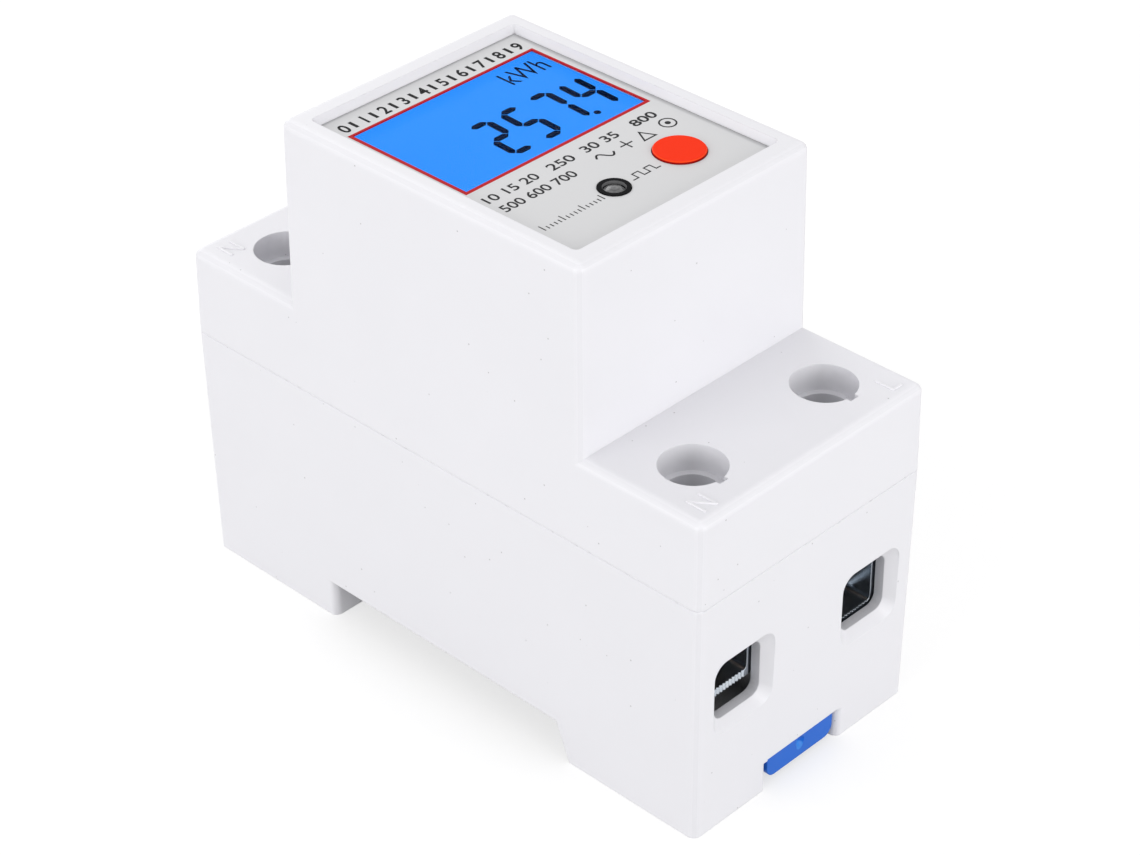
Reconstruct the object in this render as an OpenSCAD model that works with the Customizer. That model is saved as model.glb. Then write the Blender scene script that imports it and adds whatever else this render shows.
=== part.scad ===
// Two-module DIN rail energy meter, lying on its back with its face up.
// X is the width, the face reads along +X, and -Y is the end with the rail clip.
// Z = 0 is the plane of the back feet, and the origin is below the middle of the body.

/* [Housing] */
// Width across the two modules
body_w = 36; // [34.5:0.25:38]
// Length from end face to end face, at the parting line
body_l = 78.5; // [78:0.5:90]
// Height from the back feet to the rim of the raised block
body_h = 65; // [64:0.5:70]
// Height of the two lower decks
deck_h = 42; // [41:0.25:44]
// Length of each low deck
deck_l = 16.75; // [16.5:0.25:17.5]
// Height of the parting line between base and cover
part_h = 31; // [30:0.25:32]
// Draft of the moulded walls, in degrees
draft = 0.6; // [0.3:0.1:1]
// Radius of the outer edges
edge_r = 1; // [0.7:0.1:1.3]
// Wall thickness of base and cover
wall = 1.8; // [1.5:0.1:2]
// Width of the fine groove along the parting line
seam_w = 0.2; // [0.1:0.05:0.4]
// Height of the lip that centres the cover on the base
lip_h = 1.4; // [1:0.1:2]

/* [Rail recess and clip] */
// Depth of the recess for the mounting rail
rail_depth = 5; // [4.5:0.1:5.5]
// Distance from the middle to the far wall of the recess
rail_far = 17.9; // [17.7:0.1:18.2]
// Distance from the middle to the near wall of the recess, at its ceiling
rail_near = 18.4; // [18:0.1:18.8]
// How far the near wall slopes out on its way down to the feet
rail_slope = 1.9; // [1:0.1:2.2]
// Depth of the groove that hooks the rail's far flange
hook_depth = 1.2; // [0.9:0.1:1.5]
// Width of the hook groove across the base
hook_w = 26; // [20:1:28]
// Width of the clip's channel
channel_w = 11.8; // [11.4:0.1:12.4]
// Height of the clip's channel
channel_h = 4.15; // [4:0.05:4.4]
// Width of the clip
clip_w = 11; // [10.4:0.1:11.2]
// Thickness of the clip
clip_t = 3; // [2.8:0.1:3.05]
// How far the clip's front lies behind the end face
clip_setback = 0.35; // [0.2:0.05:0.6]
// How far the clip's nose reaches into the recess
clip_reach = 3.5; // [3:0.1:4]
// Travel of the clip when it is pulled out
clip_travel = 4.2; // [3.6:0.1:4.4]
// Width of the two runners that guide the clip
runner_w = 1.4; // [1.2:0.1:1.7]
// Thickness of the runners
runner_t = 1.2; // [1:0.1:1.4]

/* [Terminals] */
// Distance from the side of the body to the middle of a terminal
terminal_inset = 7.6; // [7.5:0.1:7.8]
// Width of a cable entry
entry_w = 7.2; // [6.8:0.1:7.4]
// Height of a cable entry
entry_h = 7.3; // [7:0.1:7.6]
// Corner radius of a cable entry
entry_r = 1.3; // [1:0.1:1.6]
// How far the bevel opens the entry on each side
entry_bevel = 1.2; // [0.8:0.1:1.4]
// Depth of the bevel
entry_bevel_d = 1; // [0.7:0.1:1.2]
// Thickness of the end wall in front of the clamp cages
entry_wall = 2.35; // [2.1:0.05:2.6]
// Width of a clamp cage
cage_w = 8.3; // [8.2:0.1:8.6]
// Length of a clamp cage
cage_l = 10.8; // [10:0.1:11.4]
// Thickness of the cage's sides
cage_side = 1; // [0.8:0.1:1.05]
// Thickness of the cage's floor
cage_floor = 0.9; // [0.8:0.1:1.2]
// Thickness of the threaded wall at the cage's top
cage_top = 2.4; // [2:0.1:2.8]
// Height of the wire space when a cage is fully open
wire_h = 7.6; // [7.2:0.1:7.8]
// Lift of the near neutral cage, as it stands in the picture
lift_near_n = 3; // [0:0.1:6]
// Lift of the near live cage, as it stands in the picture
lift_near_l = 0.7; // [0:0.1:6]
// Lift of the two far cages
lift_far = 0.7; // [0:0.1:6]
// Width of the copper bars
bar_w = 5.8; // [5.4:0.1:6]
// Thickness of the copper bars
bar_t = 2; // [1.8:0.1:2.2]
// Outer radius of the clamp screw's thread
screw_r = 2.45; // [2.3:0.05:2.6]
// Radius of the clamp screw's head
head_r = 3.3; // [3.2:0.05:3.4]
// Height of the clamp screw's head
head_h = 3.2; // [2.8:0.1:3.4]
// Radius of the screwdriver hole at the deck
hole_r = 3.75; // [3.6:0.05:4]
// Depth of the screwdriver hole down to its ledge
hole_depth = 3.3; // [3:0.1:3.6]
// Thickness of the ledge that keeps the screw in
ledge_t = 1.6; // [1.2:0.1:1.8]
// Radius of the hole through the ledge
driver_r = 3; // [2.8:0.05:3.1]
// Width of the small notch at the hole's edge
notch_w = 1.3; // [1:0.1:2]
// How far the notch reaches past the hole's edge
notch_d = 0.5; // [0.4:0.05:0.9]

/* [Face] */
// Depth of the face panel below the rim
face_sink = 1; // [0.8:0.1:1.2]
// Width of the flat rim on each side of the face panel
rim_x = 2.5; // [2.3:0.1:2.7]
// Width of the flat rim at each end of the face panel
rim_y = 2.85; // [2.6:0.05:3]
// How far the rim's inner wall slopes in
rim_slope = 0.35; // [0.2:0.05:0.5]
// Thickness of the clear pane
pane_t = 0.8; // [0.6:0.1:1.2]
// Thickness of the printed film on the pane
film_t = 0.15; // [0.1:0.05:0.3]
// Distance from each side of the film to the display opening
display_side = 1.45; // [1.35:0.05:2.5]
// Distance from the film's far end to the display opening
display_far = 4.2; // [4.1:0.1:5]
// Distance from the film's near end to the display opening
display_near = 17.15; // [17:0.05:18]
// Distance from the film's right side to the middle of the button
button_inset = 7.2; // [6.8:0.1:7.8]
// Distance from the film's near end to the middle of the button
button_near = 7.05; // [6.8:0.05:7.4]
// Radius of the button
button_r = 2.95; // [2.6:0.05:3.1]
// How far the button stands above the film
button_rise = 0.3; // [0.3:0.05:0.6]
// Travel of the button
button_travel = 0.5; // [0.3:0.05:0.6]
// Distance from the middle of the lamp to the middle of the button
lamp_offset = 10.4; // [9.8:0.1:11]
// Distance from the film's near end to the middle of the lamp
lamp_near = 6.75; // [6.5:0.05:7.2]
// Radius of the pulse lamp
lamp_r = 1.45; // [1.4:0.01:1.5]
// Outer radius of the ring around the lamp
ring_r = 1.85; // [1.8:0.05:2]
// Radius of the opening in the ring's lip
ring_eye_r = 1.27; // [1.2:0.01:1.3]

/* [Electronics] */
// Thickness of the two circuit boards
board_t = 1.6; // [1.2:0.2:1.6]
// Gap between the bars and the main board
board_lift = 5; // [4.5:0.1:5.4]
// Gap between the main board's ends and the terminal blocks
main_end_gap = 3.2; // [3:0.1:4]
// Gap between the display board and the walls of the raised block
display_board_gap = 0.3; // [0.2:0.1:0.6]
// Thickness of the display glass
glass_t = 2; // [1.8:0.1:2.2]
// Thickness of the backlight plate
backlight_t = 2.6; // [2.2:0.1:3]
// Distance from the display board to the backlight
backlight_stand = 3.6; // [3.4:0.1:4]
// Number of pins in the link between the boards
link_pins = 8; // [6:1:9]

/* [Hidden] */
$fn = 48;
// Thickness of the thin slices that a hull joins
slice = 0.01;
// Overlap of cutters past the face that they cut
over = 0.5;
// Running gap between sliding pieces
gap = 0.1;
// Side gap of a cage in its pocket
cage_gap = 0.2;

block_l = body_l - 2 * deck_l;

// Half width and half length of the drafted body at a height
function half_w(z) = body_w / 2 - abs(z - part_h) * tan(draft);
function half_l(z) = body_l / 2 - abs(z - part_h) * tan(draft);
function block_half_l(z) = block_l / 2 - (z - deck_h) * tan(draft);

// Inner faces of the shells, straight, at the places where the walls are thinnest
cavity_w = 2 * (half_w(deck_h) - wall);
cavity_l = 2 * (half_l(deck_h) - wall);
block_cavity_w = 2 * (half_w(body_h) - wall);
block_cavity_l = 2 * (block_half_l(body_h) - wall);
floor_h = rail_depth + wall;
deck_under = deck_h - wall;

// Terminal stack, hung from the deck
ledge_under = deck_h - hole_depth - ledge_t;
head_top = ledge_under - 0.3;
head_bottom = head_top - head_h;
cage_top_max = head_bottom - 0.4;
bar_z = cage_top_max - cage_top - wire_h - gap - bar_t;
bar_top = bar_z + bar_t;
cage_low = bar_z - wire_h - gap;
pocket_z = cage_low - cage_floor - 0.3;
pocket_floor = 1.5;
entry_z = bar_z - entry_h / 2;
pocket_w = cage_w + 2 * cage_gap;
pocket_front = body_l / 2 - entry_wall;
term_x = body_w / 2 - terminal_inset;
term_y = pocket_front - cage_gap - cage_l / 2;
pocket_back = pocket_front - cage_l - 2 * cage_gap;
pocket_wall = 1.5;
block_back = pocket_back - pocket_wall;
pocket_inner_x = term_x - pocket_w / 2;
bar_end = term_y + cage_l / 2 - 0.7;
tooth_pitch = 0.5;
teeth = 5;
guide_r = head_r + 0.3;
guide_wall = 1.4;
guide_bottom = cage_top_max + 0.2;

// Face stack, hung from the rim
film_top = body_h - face_sink;
pane_top = film_top - film_t;
pane_under = pane_top - pane_t;
face_w = 2 * (half_w(body_h) - rim_x + 0.35);
face_l = 2 * (block_half_l(body_h) - rim_y + 0.35);
pane_w = face_w - 2 * rim_slope;
pane_l = face_l - 2 * rim_slope;
seat_w = 0.6;
frame_t = 1.5;
frame_under = pane_under - frame_t;
display_w = pane_w - gap - 2 * display_side;
display_l = pane_l - gap - display_far - display_near;
display_y = (display_near - display_far) / 2;
button_x = pane_w / 2 - button_inset;
button_y = button_near - pane_l / 2;
lamp_x = button_x - lamp_offset;
lamp_y = lamp_near - pane_l / 2;
glass_top = pane_under - 0.05;
glass_under = glass_top - glass_t;
backlight_under = glass_under - backlight_t;
display_board_top = backlight_under - backlight_stand;
display_board_z = display_board_top - board_t;
glass_w = pane_w - 2 * seat_w - 0.3;
glass_l = display_l + 2.9;
glass_y = display_y - 0.45;
holder_w = glass_w + 1;
holder_l = glass_l + 1;
strip_t = 1.8;

// Main board and what stands on it
main_z = bar_top + board_lift;
main_top = main_z + board_t;
main_w = cavity_w - 1.2;
main_l = 2 * (block_back - main_end_gap);
board_room = display_board_z - main_top;
board_hole_r = 1.1;
post_y = main_l / 2 - 2.2;
post_r = 2.4;
display_post_x = block_cavity_w / 2 - 3.85;
display_post_y = block_cavity_l / 2 - 1.45;
display_post_r = 2;
link_pitch = 2.54;
link_y = 12.2 - pane_l / 2;
link_w = 2.5;
pin_r = 0.35;

// The near part of the board holds the supply, the far part the measuring circuit
near_edge = -main_l / 2;
far_start = link_y + link_w / 2;
far_l = main_l / 2 - far_start;
shunt_y = far_start + 0.35 * far_l;
shunt_l = 0.42 * far_l;
sense_y = 0.155 * far_l;

// Clip and its spring
clip_z = channel_h - gap - clip_t - 0.15;
clip_front = half_l(clip_t) - clip_setback;
clip_nose = rail_near - clip_reach;
window_w = 3.4;
window_front = 31;
window_back = 21;
peg_t = 1.2;
peg_front = window_front - 0.4;
peg_back = peg_front - peg_t;
arm_w = 1.3 * (pocket_inner_x - pocket_wall);
arm_h = 5;
tooth_h = 1.9;
spring_r = 1.05;
spring_wire_r = 0.22;
spring_turns = 7;
runner_z = clip_z + 0.8;
runner_front = pocket_front - clip_travel - 0.3;
runner_back = rail_near + 2.2;

// Rectangle with round corners, with exact arcs
module rounded_rect(w, l, r) {
  square([w - 2 * r, l], center = true);
  square([w, l - 2 * r], center = true);
  for (x = [-1, 1], y = [-1, 1])
    translate([x * (w / 2 - r), y * (l / 2 - r)])
      circle(r);
}

// Straight block with round vertical edges, standing at height z
module slab(w, l, r, z, t) {
  translate([0, 0, z])
    linear_extrude(t)
      rounded_rect(w, l, r);
}

// Centred box from height z0 to height z1
module box(w, l, z0, z1) {
  translate([-w / 2, -l / 2, z0])
    cube([w, l, z1 - z0]);
}

// Box between two corners
module span(a, b) {
  translate(a)
    cube(b - a);
}

// Half ball whose top and sides reach exactly to r
module edge_cap(r) {
  rotate_extrude($fn = 24)
    polygon(concat([[0, -slice]], [for (a = [0:15:90]) [r * cos(a), r * sin(a)]]));
}

// Moulded block with draft, round vertical edges, a round top edge and a small chamfer at its foot
module moulded_block(w0, l0, z0, w1, l1, z1, foot = 0) {
  hull() {
    slab(w0 - 2 * foot, l0 - 2 * foot, edge_r - foot, z0, slice, $fn = 24);
    slab(w0, l0, edge_r, z0 + foot, slice, $fn = 24);
    for (x = [-1, 1], y = [-1, 1])
      translate([x * (w1 / 2 - edge_r), y * (l1 / 2 - edge_r), z1 - edge_r])
        edge_cap(edge_r);
  }
}

// Repeat at the near and far end, turned about Z so that each end looks outwards
module both_ends() {
  for (a = [0, 180])
    rotate([0, 0, a])
      children();
}

// Repeat at the four terminals; the child is drawn for +X and +Y
module four_terminals() {
  for (x = [0, 1], y = [0, 1])
    mirror([x, 0, 0])
      mirror([0, y, 0])
        children();
}

// Cutter that rounds a vertical edge whose corner is at the origin, solid towards +X and +Y
module edge_rounder(r, z0, z1) {
  difference() {
    translate([-over, -over, z0])
      cube([r + over, r + over, z1 - z0]);
    translate([r, r, z0 - over])
      cylinder(r = r, h = z1 - z0 + 2 * over);
  }
}

// Recess for the mounting rail, with the hook groove in its far wall
module rail_recess() {
  rotate([90, 0, 90])
    translate([0, 0, -body_w])
      linear_extrude(2 * body_w)
        polygon([
          [-rail_near, rail_depth],
          [-rail_near - rail_slope * (1 + over / rail_depth), -over],
          [rail_far, -over],
          [rail_far, rail_depth]
        ]);
  span([-hook_w / 2, rail_far - over, rail_depth - 1.4],
       [hook_w / 2, rail_far + hook_depth, rail_depth]);
  for (x = [0, 1])
    mirror([x, 0, 0])
      translate([-half_w(0) - 0.05, rail_far, 0])
        edge_rounder(edge_r, -over, rail_depth);
}

// Channel of the clip in the near foot, with the grooves of its runners
module clip_channel() {
  span([-channel_w / 2, -body_l, -over], [channel_w / 2, -rail_near + over, channel_h]);
  span([-clip_w / 2 - runner_w - 0.2, -pocket_front, runner_z - 0.15],
       [clip_w / 2 + runner_w + 0.2, -rail_near + over, runner_z + runner_t + 0.15]);
  for (x = [0, 1])
    mirror([x, 0, 0])
      translate([channel_w / 2, -half_l(0) - 0.05, 0])
        edge_rounder(edge_r, -over, channel_h - 0.2);
}

// One cable entry, drawn for the +Y end
module cable_entry() {
  translate([term_x, half_l(entry_z), entry_z])
    rotate([90, 0, 0]) {
      hull() {
        translate([0, 0, -over])
          linear_extrude(over)
            rounded_rect(entry_w + 2 * entry_bevel, entry_h + 2 * entry_bevel, entry_r + 0.6, $fn = 32);
        translate([0, 0, entry_bevel_d])
          linear_extrude(slice)
            rounded_rect(entry_w, entry_h, entry_r, $fn = 32);
      }
      linear_extrude(entry_wall + 2 * over)
        rounded_rect(entry_w, entry_h, entry_r);
    }
}

// Pocket of one cage with the slot that lets the bar in from above, drawn for +X and +Y
module cage_pocket() {
  span([pocket_inner_x, pocket_back, pocket_z],
       [pocket_inner_x + pocket_w, pocket_front, part_h + lip_h + over]);
  span([term_x - bar_w / 2 - gap, block_back - over, bar_z],
       [term_x + bar_w / 2 + gap, pocket_back + over, part_h + lip_h + over]);
}

// Space inside the base: the middle, the strip between the pockets, and the cored feet
module base_cavity() {
  box(cavity_w, 2 * block_back, floor_h, part_h + lip_h + over);
  box(2 * (pocket_inner_x - pocket_wall), cavity_l - 0.8, floor_h, part_h + lip_h + over);
  box(cavity_w, cavity_l - 0.8, floor_h, pocket_z - pocket_floor);
  for (x = [0, 1])
    mirror([x, 0, 0]) {
      span([clip_w / 2 + runner_w + 0.2 + wall, -cavity_l / 2 + 0.4, wall],
           [cavity_w / 2, -rail_near - rail_slope - wall, floor_h + slice]);
      span([wall / 2, rail_far + hook_depth + wall, wall],
           [cavity_w / 2, cavity_l / 2 - 0.4, floor_h + slice]);
    }
}

// Posts, ledges and ribs that carry the main board and the bars
module base_supports() {
  for (y = [-1, 1]) {
    translate([0, y * post_y, wall / 2])
      cylinder(r = post_r, h = main_z - wall / 2);
    for (x = [-1, 1]) {
      translate([x * (cavity_w / 2 - 0.7), y * main_l / 3, 0])
        box(1.6, 4, wall / 2, main_z);
      for (rib_y = [0.38 * block_back, block_back - 3.2])
        translate([x * term_x, y * rib_y, 0])
          box(bar_w - 0.6, wall, wall / 2, bar_z);
    }
  }
}

module base_housing() {
  color("whitesmoke")
    difference() {
      union() {
        difference() {
          union() {
            hull() {
              slab(2 * half_w(0), 2 * half_l(0), edge_r, 0, slice, $fn = 24);
              slab(body_w, body_l, edge_r, part_h - seam_w / 2 - slice, slice, $fn = 24);
              slab(body_w - seam_w, body_l - seam_w, edge_r - seam_w / 2, part_h - slice, slice, $fn = 24);
            }
            slab(cavity_w + 1.6, cavity_l + 1.2, edge_r, part_h - wall, wall + lip_h);
          }
          base_cavity();
        }
        base_supports();
        span([-window_w / 2 + 0.4, -peg_front, clip_z + 0.3],
             [window_w / 2 - 0.4, -peg_back, channel_h + wall]);
      }
      rail_recess();
      difference() {
        clip_channel();
        span([-window_w / 2 + 0.4, -peg_front, clip_z + 0.3],
             [window_w / 2 - 0.4, -peg_back, channel_h + wall]);
      }
      four_terminals() {
        cable_entry();
        cage_pocket();
      }
      for (y = [-1, 1])
        translate([0, y * post_y, main_z - 9])
          cylinder(r = board_hole_r - 0.08, h = 9 + over);
      both_ends()
        span([-arm_w / 2 - 0.4, pocket_front - over, part_h - arm_h - 0.6],
             [arm_w / 2 + 0.4, half_l(part_h - arm_h) - 1, part_h - arm_h + tooth_h + 0.2]);
    }
}

// Screw guide of one terminal and the rib that holds the bar down, drawn for +X and +Y
module terminal_guide() {
  translate([term_x, term_y, guide_bottom])
    cylinder(r = guide_r + guide_wall, h = deck_under - guide_bottom + slice);
  span([term_x - bar_w / 2 + gap, block_back + gap, bar_top],
       [term_x + bar_w / 2 - gap, pocket_back - gap, deck_under + slice]);
}

// Screwdriver hole of one terminal, drawn for +X; its notch points to -Y at every terminal
module driver_hole(y) {
  translate([term_x, y, 0]) {
    translate([0, 0, deck_h - hole_depth])
      cylinder(r = hole_r, h = hole_depth + over);
    translate([0, 0, ledge_under - over])
      cylinder(r = driver_r, h = ledge_t + 2 * over);
    translate([0, 0, guide_bottom - over])
      cylinder(r = guide_r, h = ledge_under - guide_bottom + over);
    span([-notch_w / 2, -hole_r - notch_d, deck_h - hole_depth], [notch_w / 2, 0, deck_h + over]);
  }
}

// Snap arm between the pockets, drawn for the +Y end
module snap_arm() {
  arm_y = cavity_l / 2 - 0.7;
  arm_z = part_h - arm_h;
  span([-arm_w / 2, arm_y - 1.4, arm_z], [arm_w / 2, arm_y, deck_under + slice]);
  rotate([90, 0, 90])
    translate([0, 0, -arm_w / 2])
      linear_extrude(arm_w)
        polygon([
          [arm_y - slice, arm_z],
          [arm_y + 0.3, arm_z],
          [arm_y + 1.2, arm_z + 1],
          [arm_y + 1.2, arm_z + tooth_h],
          [arm_y - slice, arm_z + tooth_h]
        ]);
}

module top_cover() {
  color("whitesmoke")
    difference() {
      union() {
        difference() {
          union() {
            moulded_block(body_w, body_l, part_h,
                          2 * half_w(deck_h - edge_r), 2 * half_l(deck_h - edge_r), deck_h, seam_w / 2);
            moulded_block(2 * half_w(deck_under), 2 * block_half_l(deck_under), deck_under,
                          2 * half_w(body_h - edge_r), 2 * block_half_l(body_h - edge_r), body_h);
          }
          box(cavity_w, cavity_l, part_h - over, deck_under);
          slab(cavity_w + 1.8, cavity_l + 1.4, edge_r + gap, part_h - over, lip_h + 0.2 + over);
          box(block_cavity_w, block_cavity_l, part_h, frame_under);
        }
        four_terminals()
          terminal_guide();
        both_ends()
          snap_arm();
        for (x = [-1, 1], y = [-1, 1])
          translate([x * display_post_x, y * display_post_y, display_board_top])
            cylinder(r = display_post_r, h = frame_under - display_board_top + slice);
      }
      box(pane_w - 2 * seat_w, pane_l - 2 * seat_w, frame_under - over, body_h);
      box(pane_w, pane_l, pane_under, body_h);
      hull() {
        slab(pane_w, pane_l, 0.4, film_top, slice, $fn = 16);
        slab(face_w, face_l, 0.6, body_h, over, $fn = 16);
      }
      for (x = [0, 1])
        mirror([x, 0, 0]) {
          driver_hole(term_y);
          driver_hole(-term_y);
        }
      for (x = [-1, 1], y = [-1, 1])
        translate([x * display_post_x, y * display_post_y, display_board_top - over])
          cylinder(r = 0.8, h = 5);
    }
}

// Holes for the button and for the ring of the lamp, through pane and film
module face_holes(z0, z1) {
  translate([button_x, button_y, z0])
    cylinder(r = button_r + 0.08, h = z1 - z0);
  translate([lamp_x, lamp_y, z0])
    cylinder(r = ring_r + 0.02, h = z1 - z0);
}

module face_pane() {
  color("lightgrey", 0.5)
    difference() {
      box(pane_w - gap, pane_l - gap, pane_under, pane_top);
      face_holes(pane_under - over, pane_top + over);
    }
}

module face_film() {
  color("gainsboro")
    difference() {
      box(pane_w - gap, pane_l - gap, pane_top, film_top);
      translate([0, display_y, 0])
        box(display_w, display_l, pane_top - over, film_top + over);
      face_holes(pane_top - over, film_top + over);
    }
}

// Two glass plates, the lower one with a ledge for the contacts
module display_glass() {
  color("dodgerblue")
    translate([0, glass_y, 0]) {
      translate([0, 0.75, 0])
        box(glass_w, glass_l - 1.5, glass_under + glass_t / 2, glass_top);
      box(glass_w, glass_l, glass_under, glass_under + glass_t / 2);
    }
}

module backlight_plate() {
  color("white")
    translate([0, glass_y + strip_t / 2 + 0.2, 0])
      box(glass_w - 0.2, glass_l - strip_t - 0.6, backlight_under, glass_under);
}

// Tray that holds glass, backlight and contact strip on the display board
module display_holder() {
  color("white")
    translate([0, glass_y, 0])
      difference() {
        box(holder_w, holder_l, display_board_top, frame_under - 0.2);
        box(glass_w + gap, glass_l + gap, backlight_under, frame_under + over);
        box(glass_w - 1.6, glass_l - 1.6, display_board_top - over, backlight_under - 1);
        translate([0, -glass_l / 2 + strip_t / 2 + 0.1, 0])
          box(glass_w - 2 + gap, strip_t + gap, display_board_top - over, backlight_under + over);
      }
}

module contact_strip() {
  color("dimgray")
    translate([0, glass_y - glass_l / 2 + strip_t / 2 + 0.1, 0])
      box(glass_w - 2, strip_t, display_board_top, glass_under);
}

module display_board() {
  color("seagreen")
    difference() {
      slab(block_cavity_w - 2 * display_board_gap, block_cavity_l - 2 * display_board_gap, 1,
           display_board_z, board_t);
      for (x = [-1, 1], y = [-1, 1])
        translate([x * display_post_x, y * display_post_y, display_board_z - over])
          cylinder(r = 0.9, h = board_t + 2 * over);
      link_pin_holes(display_board_z);
      for (x = [-1, 1])
        translate([lamp_x + x * link_pitch / 2, lamp_y, display_board_z - over])
          cylinder(r = 0.4, h = board_t + 2 * over);
    }
}

// Pan-head screws through the display board into the posts of the cover
module display_screws() {
  color("silver")
    for (x = [-1, 1], y = [-1, 1])
      translate([x * display_post_x, y * display_post_y, display_board_z]) {
        translate([0, 0, -1])
          cylinder(r = 1.35, h = 1);
        translate([0, 0, -slice])
          cylinder(r = 0.78, h = board_t + 3.5);
      }
}

// Push button: cap, flange under the pane and stem down to the switch
module function_button() {
  color("orangered")
    translate([button_x, button_y, 0]) {
      rotate_extrude()
        polygon([
          [0, switch_top + 0.02],
          [1.6, switch_top + 0.02],
          [1.6, pane_under - 1],
          [button_r + 0.7, pane_under - 1],
          [button_r + 0.7, pane_under - 0.05],
          [button_r, pane_under - 0.05],
          [button_r, film_top + button_rise - 0.12],
          [button_r - 0.12, film_top + button_rise],
          [0, film_top + button_rise]
        ]);
    }
}
switch_body_h = 3.5;
switch_top = display_board_top + switch_body_h + 0.8;

module button_switch() {
  color("black")
    translate([button_x, button_y, 0])
      difference() {
        union() {
          box(6, 6, display_board_top, display_board_top + switch_body_h);
          for (x = [-1, 1], y = [-1, 1])
            translate([x * 3.3, y * 2.25, 0])
              box(1, 0.7, display_board_top, display_board_top + 0.3);
        }
        translate([0, 0, display_board_top + 1.6])
          cylinder(r = 1.8, h = switch_body_h);
      }
}

module switch_plunger() {
  color("dimgray")
    translate([button_x, button_y, switch_top - 1.8])
      cylinder(r = 1.73, h = 1.8);
}

// Lamp with dome, flange and two leads into the display board
module pulse_lamp() {
  color("silver")
    translate([lamp_x, lamp_y, 0]) {
      rotate_extrude()
        polygon(concat(
          [[0, lamp_base], [1.75, lamp_base], [1.75, lamp_base + 0.8], [lamp_r, lamp_base + 0.8]],
          [for (a = [0:15:75]) [lamp_r * cos(a), lamp_top - lamp_dome + lamp_dome * sin(a)]],
          [[0, lamp_top]]
        ));
      for (x = [-1, 1])
        translate([x * link_pitch / 2, 0, display_board_z - 0.6])
          cylinder(r = 0.28, h = lamp_base - display_board_z + 0.6 + slice);
    }
}
lamp_top = film_top + 0.05;
lamp_dome = 0.9;
lamp_base = lamp_top - 5.2;

// Black ring with a lip round the lamp and a flange under the pane
module lamp_ring() {
  color("black")
    translate([lamp_x, lamp_y, 0])
      rotate_extrude()
        polygon([
          [lamp_r + 0.05, pane_under - 1.2],
          [ring_r + 0.7, pane_under - 1.2],
          [ring_r + 0.7, pane_under],
          [ring_r, pane_under],
          [ring_r, film_top + 0.1],
          [ring_eye_r, film_top + 0.1],
          [ring_eye_r, film_top - 0.3],
          [lamp_r + 0.05, film_top - 0.55]
        ]);
}

module link_pin_holes(z) {
  for (i = [0:link_pins - 1])
    translate([(i - (link_pins - 1) / 2) * link_pitch, link_y, z - over])
      cylinder(r = pin_r + 0.1, h = board_t + 2 * over, $fn = 24);
}

// Pin row that joins the two boards, with its two plastic strips
module board_link() {
  color("dimgray") {
    translate([0, link_y, 0]) {
      box(link_pins * link_pitch, link_w, main_top, main_top + 2.5);
      box(link_pins * link_pitch, link_w, display_board_z - 2.5, display_board_z);
    }
    for (i = [0:link_pins - 1])
      translate([(i - (link_pins - 1) / 2) * link_pitch, link_y, main_z - 0.8])
        cylinder(r = pin_r, h = display_board_top + 0.5 - main_z + 0.8, $fn = 24);
  }
}

module main_board() {
  color("seagreen")
    difference() {
      slab(main_w, main_l, 1, main_z, board_t);
      for (y = [-1, 1])
        translate([0, y * post_y, main_z - over])
          cylinder(r = board_hole_r + 0.1, h = board_t + 2 * over);
      link_pin_holes(main_z);
      sense_pin_places()
        cylinder(r = 0.6, h = 2 * main_top);
    }
}

module board_screws() {
  color("silver")
    for (y = [-1, 1])
      translate([0, y * post_y, main_top]) {
        cylinder(r = 2, h = 1.3);
        translate([0, 0, -board_t - 7])
          cylinder(r = board_hole_r - 0.1, h = board_t + 7 + slice);
      }
}

// Chip body with bent legs along the sides at the given turns
module chip(w, l, h, legs, sides) {
  box(w, 0.7 * l, main_top + 0.1, main_top + h);
  for (a = sides)
    rotate([0, 0, a])
      for (i = [0:legs - 1])
        translate([(i - (legs - 1) / 2) * 0.9 * w / (legs - 1), 0, 0]) {
          span([-0.2, 0.42 * l, main_top], [0.2, 0.5 * l, main_top + 0.2]);
          span([-0.2, 0.33 * l, main_top + 0.1], [0.2, 0.45 * l, main_top + h / 2]);
        }
}

module metering_chip() {
  color("black")
    translate([term_x, shunt_y, 0])
      chip(0.27 * main_w, 0.2 * far_l, 1.8, 8, [0, 180]);
}

module controller_chip() {
  color("black")
    translate([-0.103 * main_w, far_start + 0.347 * far_l, 0])
      chip(0.355 * main_w, 0.408 * far_l, 1.5, 9, [0, 180]);
}

module memory_chip() {
  color("black")
    translate([0.29 * main_w, far_start + 0.72 * far_l, 0])
      chip(0.206 * main_w, 0.2 * far_l, 1.6, 4, [0, 180]);
}

module crystal() {
  crystal_w = 0.355 * main_w;
  crystal_l = 0.17 * far_l;
  color("silver")
    translate([-0.103 * main_w, far_start + 0.72 * far_l, 0]) {
      slab(crystal_w, crystal_l, crystal_l / 2 - 0.05, main_top, 0.5);
      slab(crystal_w - 0.8, crystal_l - 0.8, crystal_l / 2 - 0.45, main_top, 3.5);
    }
}

module film_capacitor() {
  color("goldenrod")
    translate([-0.174 * main_w, near_edge + 8.8, 0])
      slab(0.58 * main_w, 5.4, 0.5, main_top, 0.47 * board_room);
}

// Can with a rolled bead near its foot and a crimped top
module smoothing_capacitor() {
  can_r = 0.129 * main_w;
  can_h = 0.51 * board_room;
  color("midnightblue")
    translate([main_w / 2 - 5.9, near_edge + 7.2, main_top])
      rotate_extrude()
        polygon([
          [0, 0], [can_r, 0], [can_r, 1.4], [can_r - 0.25, 1.7], [can_r - 0.25, 2], [can_r, 2.3],
          [can_r, can_h - 0.4], [can_r - 0.4, can_h], [can_r - 1.4, can_h], [can_r - 1.4, can_h - 0.2],
          [0, can_h - 0.2]
        ]);
}

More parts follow.
